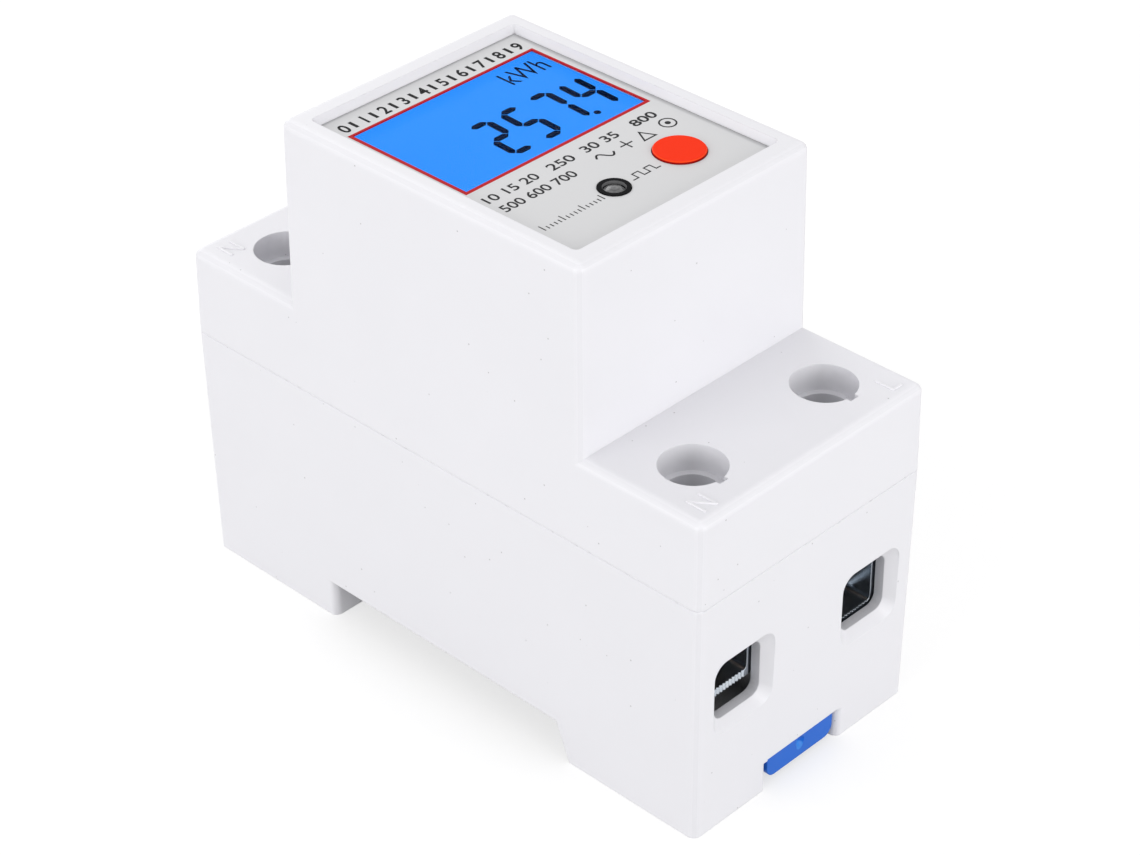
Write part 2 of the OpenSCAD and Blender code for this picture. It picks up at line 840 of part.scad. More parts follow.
// Disc on two leads, standing on edge
module varistor() {
  disc_r = 0.148 * main_w;
  color("royalblue")
    translate([-0.303 * main_w, near_edge + 3.1, 0]) {
      translate([0, 1.6, main_top + disc_r + 1.6])
        rotate([90, 0, 0])
          cylinder(r = disc_r, h = 3.2);
      for (x = [-1, 1])
        translate([x * 0.08 * main_w, 0, main_top])
          cylinder(r = 0.35, h = 4);
    }
}

// Axial resistor with bent leads
module dropper_resistor() {
  resistor_l = 0.33 * far_l;
  lead = 0.06 * far_l;
  color("tan")
    translate([2.6 - main_w / 2, far_start + 0.37 * far_l, main_top + 1.9]) {
      rotate([90, 0, 0])
        translate([0, 0, -resistor_l / 2])
          cylinder(r = 1.7, h = resistor_l);
      for (a = [0, 180])
        rotate([0, 0, a]) {
          translate([0, resistor_l / 2 + lead, 0])
            rotate([90, 0, 0])
              cylinder(r = 0.35, h = lead + slice);
          translate([0, resistor_l / 2 + lead, -1.9])
            cylinder(r = 0.35, h = 2.25);
        }
    }
}

// Flat bar between two ends
module bar(y0, y1) {
  span([-bar_w / 2, y0, bar_z], [bar_w / 2, y1, bar_top]);
}

module neutral_bar() {
  color("peru")
    translate([-term_x, 0, 0])
      bar(-bar_end, bar_end);
}

module live_bar_in() {
  color("peru")
    translate([term_x, 0, 0])
      bar(-bar_end, shunt_y - shunt_l / 2);
}

module live_bar_out() {
  color("peru")
    translate([term_x, 0, 0])
      bar(shunt_y + shunt_l / 2, bar_end);
}

// Resistance strip, waisted to its trimmed width
module current_shunt() {
  color("slategray")
    difference() {
      translate([term_x, shunt_y, 0])
        span([-bar_w / 2, -shunt_l / 2, bar_z], [bar_w / 2, shunt_l / 2, bar_top]);
      for (x = [-1, 1])
        translate([term_x + x * (bar_w / 2 + 1.2), shunt_y, bar_z - over])
          cylinder(r = 2, h = bar_t + 2 * over);
    }
}

// Places of the pins that carry the measuring voltages up to the board
module sense_pin_places() {
  for (y = [-1, 1])
    translate([term_x, shunt_y + y * sense_y, 0])
      children();
  translate([-term_x, far_start + 0.08 * far_l, 0])
    children();
}

module sense_pins() {
  color("gold")
    sense_pin_places()
      translate([0, 0, bar_top])
        cylinder(r = 0.5, h = main_top + 0.8 - bar_top);
}

// Clamp cage: a steel frame open along Y, with ridges across its floor and a threaded top
module cage(lift) {
  inner_w = cage_w - 2 * cage_side;
  top_z = bar_top + gap;
  color("silver")
    translate([0, 0, lift])
      difference() {
        translate([0, cage_l / 2, (cage_low - cage_floor + top_z + cage_top) / 2])
          rotate([90, 0, 0])
            linear_extrude(cage_l)
              rounded_rect(cage_w, top_z + cage_top - cage_low + cage_floor, 0.9);
        translate([0, cage_l / 2 + over, (cage_low + top_z) / 2])
          rotate([90, 0, 0])
            linear_extrude(cage_l + 2 * over)
              rounded_rect(inner_w, top_z - cage_low, 0.6);
        translate([0, 0, top_z - over])
          cylinder(r = screw_r + 0.05, h = cage_top + 2 * over);
        for (y = [-1, 0, 1])
          translate([-inner_w / 2 + 0.6, y * 2, cage_low])
            rotate([45, 0, 0])
              translate([0, -0.25, -0.25])
                cube([inner_w - 1.2, 0.5, 0.5]);
        for (y = [-1, 1], i = [-teeth : teeth])
          translate([i * tooth_pitch, y * cage_l / 2, cage_low - cage_floor / 2])
            rotate([0, 0, 45])
              cube([0.28, 0.28, cage_floor + 2 * over], center = true);
      }
}

// Clamp screw: slotted and crossed head, shank and tip that bears on the bar
module clamp_screw() {
  color("silver")
    difference() {
      rotate_extrude()
        polygon([
          [0, bar_top + 0.05],
          [screw_r - 0.8, bar_top + 0.05],
          [screw_r, bar_top + 0.85],
          [screw_r, head_bottom],
          [head_r, head_bottom],
          [head_r, head_top - 0.5],
          [head_r - 0.5, head_top],
          [0, head_top]
        ]);
      box(1.2, 2 * head_r + 1, head_top - 1.5, head_top + over);
      box(4, 1.2, head_top - 1.8, head_top + over);
    }
}

module at_terminal(x, y) {
  translate([x * term_x, y * term_y, 0])
    children();
}

module cage_near_n() { at_terminal(-1, -1) cage(lift_near_n); }
module cage_near_l() { at_terminal(1, -1) cage(lift_near_l); }
module cage_far_n() { at_terminal(-1, 1) cage(lift_far); }
module cage_far_l() { at_terminal(1, 1) cage(lift_far); }
module screw_near_n() { at_terminal(-1, -1) clamp_screw(); }
module screw_near_l() { at_terminal(1, -1) clamp_screw(); }
module screw_far_n() { at_terminal(-1, 1) clamp_screw(); }
module screw_far_l() { at_terminal(1, 1) clamp_screw(); }

// Rail clip: a slide with round lower edges, runners, a spring window and a sloped nose
module rail_clip() {
  corner = 1.3;
  color("royalblue")
    difference() {
      union() {
        translate([0, -clip_nose, clip_z])
          rotate([90, 0, 0])
            linear_extrude(clip_front - clip_nose) {
              translate([-clip_w / 2, corner])
                square([clip_w, clip_t - corner]);
              translate([-clip_w / 2 + corner, 0])
                square([clip_w - 2 * corner, clip_t]);
              for (x = [-1, 1])
                translate([x * (clip_w / 2 - corner), corner])
                  circle(corner);
            }
        for (x = [-1, 1])
          translate([x * (clip_w / 2 + runner_w / 2 - 0.5), -(runner_front + runner_back) / 2, 0])
            box(runner_w + 1, runner_front - runner_back, runner_z, runner_z + runner_t);
      }
      span([-window_w / 2, -window_front, clip_z - over], [window_w / 2, -window_back, clip_z + clip_t + over]);
      translate([-clip_w, -clip_nose + over, clip_z - over])
        rotate([-32, 0, 0])
          translate([0, -5, -4])
            cube([2 * clip_w, 12, 4]);
      span([-3, -clip_front + 1.2, clip_z - over], [3, -clip_front + 3, clip_z + 1.2]);
      translate([0, -clip_front - 0.5, clip_z + clip_t * 0.68])
        sphere(r = 0.85, $fn = 24);
    }
}

// Points of one ring of the spring wire at a turn angle
function spring_ring(a, pitch) = [
  for (b = [0:45:315])
    let (r = spring_r + spring_wire_r * cos(b))
      [r * cos(a), pitch * a / 360 + spring_wire_r * sin(b), r * sin(a)]
];

// Compression spring between the peg of the base and the back of the clip's window
module clip_spring() {
  steps = spring_turns * 14;
  run = peg_back - window_back - 2 * spring_wire_r - 0.04;
  pitch = run / spring_turns;
  rings = [for (i = [0:steps]) spring_ring(i * 360 / 14, pitch)];
  points = [for (ring = rings) for (p = ring) p];
  sides = [
    for (i = [0:steps - 1], j = [0:7])
      [i * 8 + j, i * 8 + (j + 1) % 8, (i + 1) * 8 + (j + 1) % 8, (i + 1) * 8 + j]
  ];
  caps = [[for (j = [7:-1:0]) j], [for (j = [0:7]) steps * 8 + j]];
  color("gray")
    translate([0, -peg_back + spring_wire_r + 0.02, clip_z + clip_t / 2])
      polyhedron(points, concat(sides, caps));
}

base_housing();
top_cover();
face_pane();
face_film();
display_glass();
backlight_plate();
display_holder();
contact_strip();
display_board();
function_button();
button_switch();
switch_plunger();
pulse_lamp();
lamp_ring();
display_screws();
board_link();
main_board();
board_screws();
metering_chip();
controller_chip();
memory_chip();
crystal();
film_capacitor();
smoothing_capacitor();
varistor();
dropper_resistor();
neutral_bar();
live_bar_in();
current_shunt();
live_bar_out();
sense_pins();
cage_near_n();
cage_near_l();
cage_far_n();
cage_far_l();
screw_near_n();
screw_near_l();
screw_far_n();
screw_far_l();
rail_clip();
clip_spring();
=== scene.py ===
import math

import bpy
import numpy as np
from mathutils import Matrix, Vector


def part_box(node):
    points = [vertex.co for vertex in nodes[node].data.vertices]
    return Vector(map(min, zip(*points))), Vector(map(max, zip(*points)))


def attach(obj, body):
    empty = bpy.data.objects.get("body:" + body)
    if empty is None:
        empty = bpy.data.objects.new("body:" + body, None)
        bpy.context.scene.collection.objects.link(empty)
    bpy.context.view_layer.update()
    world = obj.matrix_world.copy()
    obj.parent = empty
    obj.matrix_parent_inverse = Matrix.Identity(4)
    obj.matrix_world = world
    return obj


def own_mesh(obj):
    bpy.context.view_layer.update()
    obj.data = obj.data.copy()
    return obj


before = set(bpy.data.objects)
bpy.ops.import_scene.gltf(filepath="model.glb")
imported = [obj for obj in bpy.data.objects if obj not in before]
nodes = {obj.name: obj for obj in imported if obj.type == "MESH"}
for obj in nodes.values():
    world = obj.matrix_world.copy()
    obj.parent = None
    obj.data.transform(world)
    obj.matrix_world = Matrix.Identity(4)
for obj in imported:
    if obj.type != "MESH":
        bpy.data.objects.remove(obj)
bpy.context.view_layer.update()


# ---- Camera, lamps and table
# The meter lies on a white table under a large white tent, as for a catalogue picture.
# The camera stands in front of the near left corner and looks down on the face.

VIEW_TURN, VIEW_RISE, VIEW_ROLL = (math.radians(a) for a in (-45.759, 34.389, -0.463))
VIEW_TARGET = np.array([0.0, 0.0, 0.032])
VIEW_DISTANCE, VIEW_SIDE, VIEW_UP = 0.343997, -0.002615, 0.004351
FOCAL_PIXELS, PICTURE_WIDTH, SENSOR_WIDTH = 3064.689, 1140, 36.0
LAMP_SIZE, TENT_LIGHT, TABLE_GLOW, TABLE_HALF = 0.6, 0.74, 0.62, 3.0


def look_from(turn, rise, distance, roll=0.0, side=0.0, up=0.0):
    """Camera matrix: the back axis points from the target along (sin turn cos rise,
    -cos turn cos rise, sin rise), the right axis lies level and is rolled by roll about it,
    and the eye is the target plus distance times back, less side and up along the other two."""
    back = np.array([math.sin(turn) * math.cos(rise), -math.cos(turn) * math.cos(rise), math.sin(rise)])
    level = np.array([math.cos(turn), math.sin(turn), 0.0])
    steep = np.cross(back, level)
    right = math.cos(roll) * level + math.sin(roll) * steep
    top = -math.sin(roll) * level + math.cos(roll) * steep
    eye = VIEW_TARGET + distance * back - side * right - up * top
    columns = np.eye(4)
    columns[:3] = np.stack([right, top, back, eye], -1)
    return Matrix(columns.tolist())


camera_data = bpy.data.cameras.new("camera")
camera_data.sensor_width = SENSOR_WIDTH
camera_data.lens = FOCAL_PIXELS * SENSOR_WIDTH / PICTURE_WIDTH
camera_data.clip_start, camera_data.clip_end = 0.01, 20.0
camera = bpy.data.objects.new("camera", camera_data)
camera.matrix_world = look_from(VIEW_TURN, VIEW_RISE, VIEW_DISTANCE, VIEW_ROLL, VIEW_SIDE, VIEW_UP)
bpy.context.scene.collection.objects.link(camera)
bpy.context.scene.camera = camera
bpy.context.scene.view_settings.view_transform = "Standard"


def new_material(name):
    """Empty node material with its Principled shader joined to the output."""
    made = bpy.data.materials.new(name)
    made.use_nodes = True
    tree = made.node_tree
    return made, tree, tree.nodes["Principled BSDF"]


def join(tree, value, socket):
    """Joins another node's output to a socket, or sets the socket: a colour to a full tone of
    red, green and blue, all else to the value itself."""
    if isinstance(value, bpy.types.NodeSocket):
        tree.links.new(value, socket)
    else:
        socket.default_value = (*value, 1.0) if socket.type == "RGBA" else value


def fill(tree, node, *ordered, **named):
    """Fills a node: names of inputs, with _ for a blank, are joined, and other names set a
    property. After them the ordered values are joined to the inputs from the first on."""
    for key, value in named.items():
        if key.replace("_", " ") in node.inputs:
            join(tree, value, node.inputs[key.replace("_", " ")])
        else:
            setattr(node, key, value)
    for value, socket in zip(ordered, node.inputs):
        join(tree, value, socket)
    return node


def add_node(tree, kind, *ordered, **named):
    """New node of a kind, filled."""
    return fill(tree, tree.nodes.new("ShaderNode" + kind), *ordered, **named)


def calculate(tree, operation, *numbers):
    """Result of a Math node with these inputs."""
    return add_node(tree, "Math", *numbers, operation=operation).outputs[0]


def remap(tree, value, from_low, from_high, to_low=0.0, to_high=1.0, **properties):
    """Value carried from one range to another and held at its ends."""
    return add_node(tree, "MapRange", Value=value, From_Min=from_low, From_Max=from_high,
                    To_Min=to_low, To_Max=to_high, **properties).outputs["Result"]


def blend(tree, share, first, second):
    """Colour that goes from the first to the second with the share."""
    return add_node(tree, "Mix", data_type="RGBA", Factor=share, A=first, B=second).outputs["Result"]


def ray_level(tree, plain, shown):
    """Value that is plain for light that spreads, and shown for rays from the camera and for
    those that a gloss or a pane sends on, so that metal and glass show the same white."""
    path = add_node(tree, "LightPath").outputs
    sent_on = calculate(tree, "MAXIMUM", path["Is Glossy Ray"], path["Is Transmission Ray"])
    seen = calculate(tree, "MAXIMUM", sent_on, path["Is Camera Ray"])
    return add_node(tree, "Mix", data_type="FLOAT", Factor=seen, A=plain, B=shown).outputs["Result"]


world = bpy.data.worlds.new("tent")
world.use_nodes = True
bpy.context.scene.world = world
tent = world.node_tree
fill(tent, tent.nodes["Background"], Color=(1.0, 1.0, 1.0), Strength=ray_level(tent, TENT_LIGHT, 1.0))

for lamp_name, lamp_turn, lamp_rise, lamp_distance, lamp_power in (
    ("lamp_left", -96.0, 11.0, 0.75, 3.1),
    ("lamp_front", 6.0, 11.0, 0.75, 3.1),
    ("lamp_back", 165.0, 25.0, 0.80, 1.8),
):
    lamp_data = bpy.data.lights.new(lamp_name, "AREA")
    lamp_data.shape = "SQUARE"
    lamp_data.size = LAMP_SIZE
    lamp_data.energy = lamp_power
    lamp = bpy.data.objects.new(lamp_name, lamp_data)
    lamp.matrix_world = look_from(math.radians(lamp_turn), math.radians(lamp_rise), lamp_distance)
    bpy.context.scene.collection.objects.link(lamp)


def grid_mesh(name, points):
    """Mesh of quads over a rows by columns array of points."""
    rows, columns = points.shape[:2]
    u, v = np.meshgrid(np.arange(rows - 1), np.arange(columns - 1), indexing="ij")
    corner = u * columns + v
    quads = np.stack([corner, corner + columns, corner + columns + 1, corner + 1], -1).reshape(-1, 4)
    made = bpy.data.meshes.new(name)
    made.from_pydata(points.reshape(-1, 3), [], quads)
    return made


across = np.linspace(-TABLE_HALF, TABLE_HALF, 3)
table_points = np.stack(np.meshgrid(across, across, indexing="ij") + [np.zeros((3, 3))], -1)
table = bpy.data.objects.new("table", grid_mesh("table", table_points))
bpy.context.scene.collection.objects.link(table)
table_white, table_tree, table_shader = new_material("table_white")
fill(table_tree, table_shader, Base_Color=(0.4, 0.4, 0.4), Roughness=0.8, Specular_IOR_Level=0.1,
     Emission_Color=(1.0, 1.0, 1.0), Emission_Strength=ray_level(table_tree, 0.0, TABLE_GLOW))
table.data.materials.append(table_white)


# ---- Base housing and top cover
# Two shells of white flame-retardant plastic from steel moulds, with a fine spark-eroded
# surface and softly broken edges. The cover snaps on the base along a thin groove.

SHELL_WHITE, SPECK_AND_SHADE_GREY = (0.855, 0.85, 0.885), (0.16, 0.15, 0.15)
PARTING_HEIGHT, GROOVE_HALF = 0.031, 0.00012


def object_place(tree):
    """Place in the coordinates of the object."""
    return add_node(tree, "TexCoord").outputs["Object"]


def noise(tree, place, scale, detail):
    """Value of a noise at a place."""
    return add_node(tree, "TexNoise", Vector=place, Scale=scale, Detail=detail).outputs["Fac"]


def scaled(tree, colour, factor):
    """Colour times a factor."""
    return add_node(tree, "VectorMath", colour, operation="SCALE", Scale=factor).outputs[0]


def broken_edge(tree, radius, samples):
    """Normal that turns over a radius at edges."""
    return add_node(tree, "Bevel", samples=samples, Radius=radius).outputs["Normal"]


def relief(tree, height, depth, strength=1.0, **values):
    """Normal of a surface that stands out by height times depth."""
    bump = add_node(tree, "Bump", Height=height, Distance=depth, Strength=strength, **values)
    return bump.outputs["Normal"]


def surface_group(name, numbers, others):
    """Empty group with inputs, numbers with their first values and others with their kinds, and
    with the colour, roughness and normal of a surface as outputs."""
    group = bpy.data.node_groups.new(name, "ShaderNodeTree")
    for key, value in numbers.items():
        group.interface.new_socket(key, in_out="INPUT", socket_type="NodeSocketFloat").default_value = value
    for key, kind in others.items():
        group.interface.new_socket(key, in_out="INPUT", socket_type="NodeSocket" + kind)
    for key, kind in (("Color", "Color"), ("Roughness", "Float"), ("Normal", "Vector")):
        group.interface.new_socket(key, in_out="OUTPUT", socket_type="NodeSocket" + kind)
    return group, group.nodes.new("NodeGroupInput").outputs, group.nodes.new("NodeGroupOutput")


def moulded_surface_group():
    """Group for moulded plastic: edges look rounded over Edge Radius and carry a grain of Grain
    Depth. Shade varies by Shade Spread and Gloss by Gloss Spread over patches. Deep Shade is
    painted shade that darkens cavities with little open sky, and Corner Shade is painted shade
    that darkens inner corners."""
    group, given, result = surface_group("moulded_surface", {
        "Edge Radius": 0.0002, "Grain Scale": 6000.0, "Grain Depth": 0.000002, "Shade Spread": 0.02,
        "Gloss": 0.45, "Gloss Spread": 0.05, "Deep Shade": 0.0, "Corner Shade": 0.0,
    }, {"Tone": "Color"})
    place = object_place(group)
    patches = noise(group, place, 90.0, 3.0)
    grain = noise(group, place, given["Grain Scale"], 2.0)
    # Painted shade: ambient occlusion darkens cavities by Deep Shade and inner corners by Corner Shade.
    open_sky = add_node(group, "AmbientOcclusion", samples=8, Distance=0.012).outputs["AO"]
    deep = remap(group, open_sky, 0.03, 0.46, calculate(group, "SUBTRACT", 1.0, given["Deep Shade"]))
    corner = remap(group, open_sky, 0.5, 1.0, calculate(group, "SUBTRACT", 1.0, given["Corner Shade"]))
    least = calculate(group, "SUBTRACT", 1.0, given["Shade Spread"])
    shade = calculate(group, "MULTIPLY_ADD", patches, given["Shade Spread"], least)
    shaded = calculate(group, "MULTIPLY", shade, calculate(group, "MULTIPLY", deep, corner))
    edge = broken_edge(group, given["Edge Radius"], 6)
    fill(group, result, Color=scaled(group, given["Tone"], shaded),
         Roughness=calculate(group, "MULTIPLY_ADD", patches, given["Gloss Spread"], given["Gloss"]),
         Normal=relief(group, grain, given["Grain Depth"], Normal=edge))
    return group


moulded_surface = moulded_surface_group()


def surface_material(name, surface, metal=0.0, specular=0.5, **inputs):
    """Material whose colour, roughness and normal come from a surface group with these inputs."""
    made, tree, shader = new_material(name)
    group = add_node(tree, "Group", node_tree=surface, **inputs)
    fill(tree, shader, Base_Color=group.outputs["Color"], Roughness=group.outputs["Roughness"],
         Normal=group.outputs["Normal"], Metallic=metal, Specular_IOR_Level=specular)
    return made, tree, group


def moulded_material(name, tone, **inputs):
    """Moulded plastic of one tone."""
    return surface_material(name, moulded_surface, Tone=tone, **inputs)[0]


def dress(material, *names):
    """Puts a material in the slots of the CAD nodes with these names."""
    for name in names:
        for place in nodes[name].material_slots:
            place.material = material


def shell_material(name, parting_z):
    """Shell white with sparse grey specks, where a cell point lies close to the surface, and
    painted shade in broken streaks along the groove at parting_z. Rounded edges and faces that
    look up are a little darker by painted shade, and the painted shade of cavities is strongest
    at the height of the cable entries."""
    made, tree, group = surface_material(
        name, moulded_surface, Gloss=0.38, Edge_Radius=0.00013, Grain_Scale=5200.0,
        Grain_Depth=0.0000025, Shade_Spread=0.025, Gloss_Spread=0.08,
    )
    place = object_place(tree)
    height = add_node(tree, "SeparateXYZ", place).outputs["Z"]
    specks = add_node(tree, "TexVoronoi", Vector=place, Scale=400.0).outputs["Distance"]
    # Painted shade along the parting groove, in broken streaks, in the same grey as the specks.
    streaks = remap(tree, noise(tree, place, 900.0, 4.0), 0.60, 0.74, to_high=0.3)
    groove = calculate(tree, "COMPARE", height, parting_z, GROOVE_HALF)
    groove_shade = calculate(tree, "MULTIPLY", groove, streaks)
    specks_and_groove_shade = calculate(tree, "MAXIMUM", remap(tree, specks, 0.045, 0.03, to_high=0.45), groove_shade)
    # Painted shade: rounded edges and faces that look up are made a little darker, which tones down the light
    # they catch.
    normal = add_node(tree, "NewGeometry").outputs["Normal"]
    turned = add_node(tree, "VectorMath", normal, operation="ABSOLUTE").outputs[0]
    sides = add_node(tree, "SeparateXYZ", turned).outputs
    level = calculate(tree, "MAXIMUM", sides["X"], sides["Y"])
    rounding_shade = remap(tree, calculate(tree, "MAXIMUM", level, sides["Z"]), 0.98, 0.75, 1.0, 0.92)
    upward_shade = remap(tree, sides["Z"], 0.9, 1.0, 1.0, 0.97)
    # Painted shade in cavities is set by height: strongest at the cable entries, weak in the screw holes, none at
    # the feet; painted corner shade only near the deck.
    cavity_shade_above_feet = remap(tree, height, 0.006, 0.010, 0.0, 0.85)
    cavity_shade_below_holes = remap(tree, height, 0.026, 0.034, 0.85, 0.1)
    tint = blend(tree, specks_and_groove_shade, SHELL_WHITE, SPECK_AND_SHADE_GREY)
    fill(tree, group, Tone=scaled(tree, tint, calculate(tree, "MULTIPLY", rounding_shade, upward_shade)),
         Deep_Shade=calculate(tree, "MINIMUM", cavity_shade_above_feet, cavity_shade_below_holes),
         Corner_Shade=remap(tree, height, 0.034, 0.041, 0.0, 0.09))
    return made


dress(shell_material("shell_white", PARTING_HEIGHT), "base_housing", "top_cover")


# ---- Terminal letters
# Neutral and live are marked by small raised letters beside the screwdriver holes.
# They are moulded with the cover, 0.12 mm proud of the deck, with softened edges.

DECK, LETTER_ROOT = 0.042, 0.0001
LETTER_RISE, LETTER_STROKE, LETTER_EDGE = 0.00012, 0.00028, 0.00004
LETTER_PLACES = (
    ("N", -0.01575, -0.0137, -0.0377, -0.0351),
    ("L", 0.01435, 0.0159, -0.0376, -0.0350),
    ("N", -0.01575, -0.0137, 0.0346, 0.0372),
    ("L", 0.01435, 0.0159, 0.0346, 0.0372),
)


def flat_plates(name, outlines, z0, z1):
    """Closed thin plates: each outline is carried from z0 to z1 and both ends are capped by
    one face, counter-clockwise as seen from above."""
    points, faces, base = [], [], 0
    for outline in outlines:
        outline = np.asarray(outline, float)
        count = len(outline)
        for z in (z0, z1):
            points.append(np.concatenate([outline, np.full((count, 1), z)], -1))
        i = np.arange(count)
        j = (i + 1) % count
        faces += (np.stack([i, j, j + count, i + count], -1) + base).tolist()
        faces.append((i[::-1] + base).tolist())
        faces.append((i + count + base).tolist())
        base += 2 * count
    made = bpy.data.meshes.new(name)
    made.from_pydata(np.concatenate(points), [], faces)
    made.validate()
    return made


def add_piece(name, mesh, material, body):
    """Object at the origin for a finished mesh, riding on a body, with its material."""
    made = bpy.data.objects.new(name, mesh)
    bpy.context.scene.collection.objects.link(made)
    mesh.materials.append(material)
    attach(made, body)
    return made


def letter_outline(letter, left, right, low, high, stroke):
    """Outline of an upright N or L in a box. The N's diagonal meets its legs at low + c and
    high - c, with c = 0.9 stroke sqrt(1 + m^2) for its slope m."""
    if letter == "L":
        return [(left, low), (right, low), (right, low + stroke), (left + stroke, low + stroke),
                (left + stroke, high), (left, high)]
    slope = (high - low) / (right - left - 2 * stroke)
    c = stroke * math.sqrt(1 + slope**2) * 0.9
    return [(left, low), (left + stroke, low), (left + stroke, high - c), (right - stroke, low), (right, low),
            (right, high), (right - stroke, high), (right - stroke, low + c), (left + stroke, high), (left, high)]


letter_outlines = [letter_outline(*place, LETTER_STROKE) for place in LETTER_PLACES]
letter_mesh = flat_plates("terminal_letters", letter_outlines, DECK - LETTER_ROOT, DECK + LETTER_RISE)
letter_white = moulded_material("letter_white", (0.85, 0.845, 0.875), Edge_Radius=0.00003, Grain_Depth=0.000001)
letters = add_piece("terminal_letters", letter_mesh, letter_white, "housing")
soft_edge = letters.modifiers.new("soft_edge", "BEVEL")
soft_edge.width, soft_edge.segments = LETTER_EDGE, 2


# ---- Clamp cages
# Each cage is bent from steel strip and zinc plated, with ridges pressed across its floor so
# that the conductor can't slip. The plating is bright, with a cold blue cast.


def plated_metal_group():
    """Group for plated and rolled metal: long fine scratches along one axis stand on softly
    rounded edges, and cloudy patches vary the colour. Roughness follows the scratches."""
    group, given, result = surface_group(
        "plated_metal", {"Edge Radius": 0.0001, "Scratch Depth": 0.000002, "Cloud": 0.2, "Gloss": 0.25},
        {"Scratch Scale": "Vector", "Tone": "Color", "Cloud Tone": "Color"},
    )
    place = object_place(group)
    stretch = add_node(group, "VectorMath", place, given["Scratch Scale"], operation="MULTIPLY")
    scratch = noise(group, stretch.outputs[0], 1.0, 3.0)
    cloudy = calculate(group, "MULTIPLY", noise(group, place, 420.0, 3.0), given["Cloud"])
    edge = broken_edge(group, given["Edge Radius"], 4)
    fill(group, result, Color=blend(group, cloudy, given["Tone"], given["Cloud Tone"]),
         Roughness=calculate(group, "MULTIPLY_ADD", scratch, 0.15, given["Gloss"]),
         Normal=relief(group, scratch, given["Scratch Depth"], Normal=edge))
    return group


plated_metal = plated_metal_group()


def metal_material(name, tone, cloud_tone, gloss, scratch, cloud, edge=0.0001):
    """Metallic material whose surface comes from the plated metal group."""
    return surface_material(name, plated_metal, metal=1.0, Tone=tone, Cloud_Tone=cloud_tone, Gloss=gloss,
                            Scratch_Scale=scratch, Cloud=cloud, Edge_Radius=edge)[0]


cage_zinc = metal_material(
    "cage_zinc", (0.74, 0.77, 0.80), (0.34, 0.42, 0.52), 0.14, (9000.0, 500.0, 2500.0),
    cloud=0.8, edge=0.00012,
)
dress(cage_zinc, "cage_near_n", "cage_near_l", "cage_far_n", "cage_far_l")


# ---- Clamp screws
# Steel screws with a slot and a short cross in the head, zinc plated after the thread was
# rolled. The thread runs from below the head to the tip with a pitch of 0.8 mm.

SCREWS = {"screw_near_n": (-1, -1), "screw_near_l": (1, -1), "screw_far_n": (-1, 1), "screw_far_l": (1, 1)}
TERMINAL_X, TERMINAL_Y, THREAD_PITCH, HEAD_FOOT = 0.0104, 0.0313, 0.0008, 0.0335
SCREW_ZINC = (0.55, 0.56, 0.58)


def threaded_material(name, axis_x, axis_y, tone, head_foot):
    """Metal whose normal carries a helical wave round a vertical axis: the height is the sine of
    2 pi (z / pitch - angle / 2 pi), only below head_foot."""
    made, tree, shader = new_material(name)
    place = object_place(tree)
    centred = add_node(tree, "VectorMath", place, (axis_x, axis_y, 0.0), operation="SUBTRACT")
    split = add_node(tree, "SeparateXYZ", centred.outputs[0]).outputs
    angle = calculate(tree, "ARCTAN2", split["Y"], split["X"])
    lift = calculate(tree, "MULTIPLY", split["Z"], 2 * math.pi / THREAD_PITCH)
    wave = calculate(tree, "SINE", calculate(tree, "SUBTRACT", lift, angle))
    below = calculate(tree, "LESS_THAN", split["Z"], head_foot)
    thread = calculate(tree, "MULTIPLY", wave, below)
    clouds = noise(tree, place, 700.0, 3.0)
    fill(tree, shader, Base_Color=blend(tree, clouds, tone, tuple(0.55 * c for c in tone)), Metallic=1.0,
         Roughness=remap(tree, clouds, 0.0, 1.0, 0.2, 0.42),
         Normal=relief(tree, thread, 0.00018, Normal=broken_edge(tree, 0.00012, 4)))
    return made


for screw_name, (side_x, side_y) in SCREWS.items():
    screw_zinc = threaded_material(
        screw_name + "_zinc", side_x * TERMINAL_X, side_y * TERMINAL_Y, SCREW_ZINC, HEAD_FOOT
    )
    dress(screw_zinc, screw_name)


# ---- Bars, shunt and sense pins
# Flat bars of tinned copper run from each clamp to the middle. In the live bar a strip of
# brown resistance alloy carries the current, and thin pins lead its voltage to the board.

tinned_copper = metal_material(
    "tinned_copper", (0.70, 0.66, 0.60), (0.62, 0.36, 0.22), 0.24, (300.0, 3500.0, 3500.0), cloud=0.9
)
dress(tinned_copper, "neutral_bar", "live_bar_in", "live_bar_out", "sense_pins")
shunt_alloy = metal_material(
    "shunt_alloy", (0.42, 0.33, 0.27), (0.30, 0.24, 0.22), 0.34, (3500.0, 350.0, 3500.0), cloud=0.7
)
dress(shunt_alloy, "current_shunt")


# ---- Rail clip and its spring
# The clip is one blue moulding that slides in the near foot, with a dimple where the mould
# was filled. A small coil spring of steel wire behind it pulls it back under the rail.

clip_low, clip_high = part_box("rail_clip")
DIMPLE_RADIUS = 0.0006


def distance_from(tree, centre, axes=(1.0, 1.0, 1.0)):
    """Distance of a place on the object from a centre, along the axes that count."""
    apart = add_node(tree, "VectorMath", object_place(tree), centre, operation="SUBTRACT").outputs[0]
    counted = add_node(tree, "VectorMath", apart, axes, operation="MULTIPLY").outputs[0]
    return add_node(tree, "VectorMath", counted, operation="LENGTH").outputs["Value"]


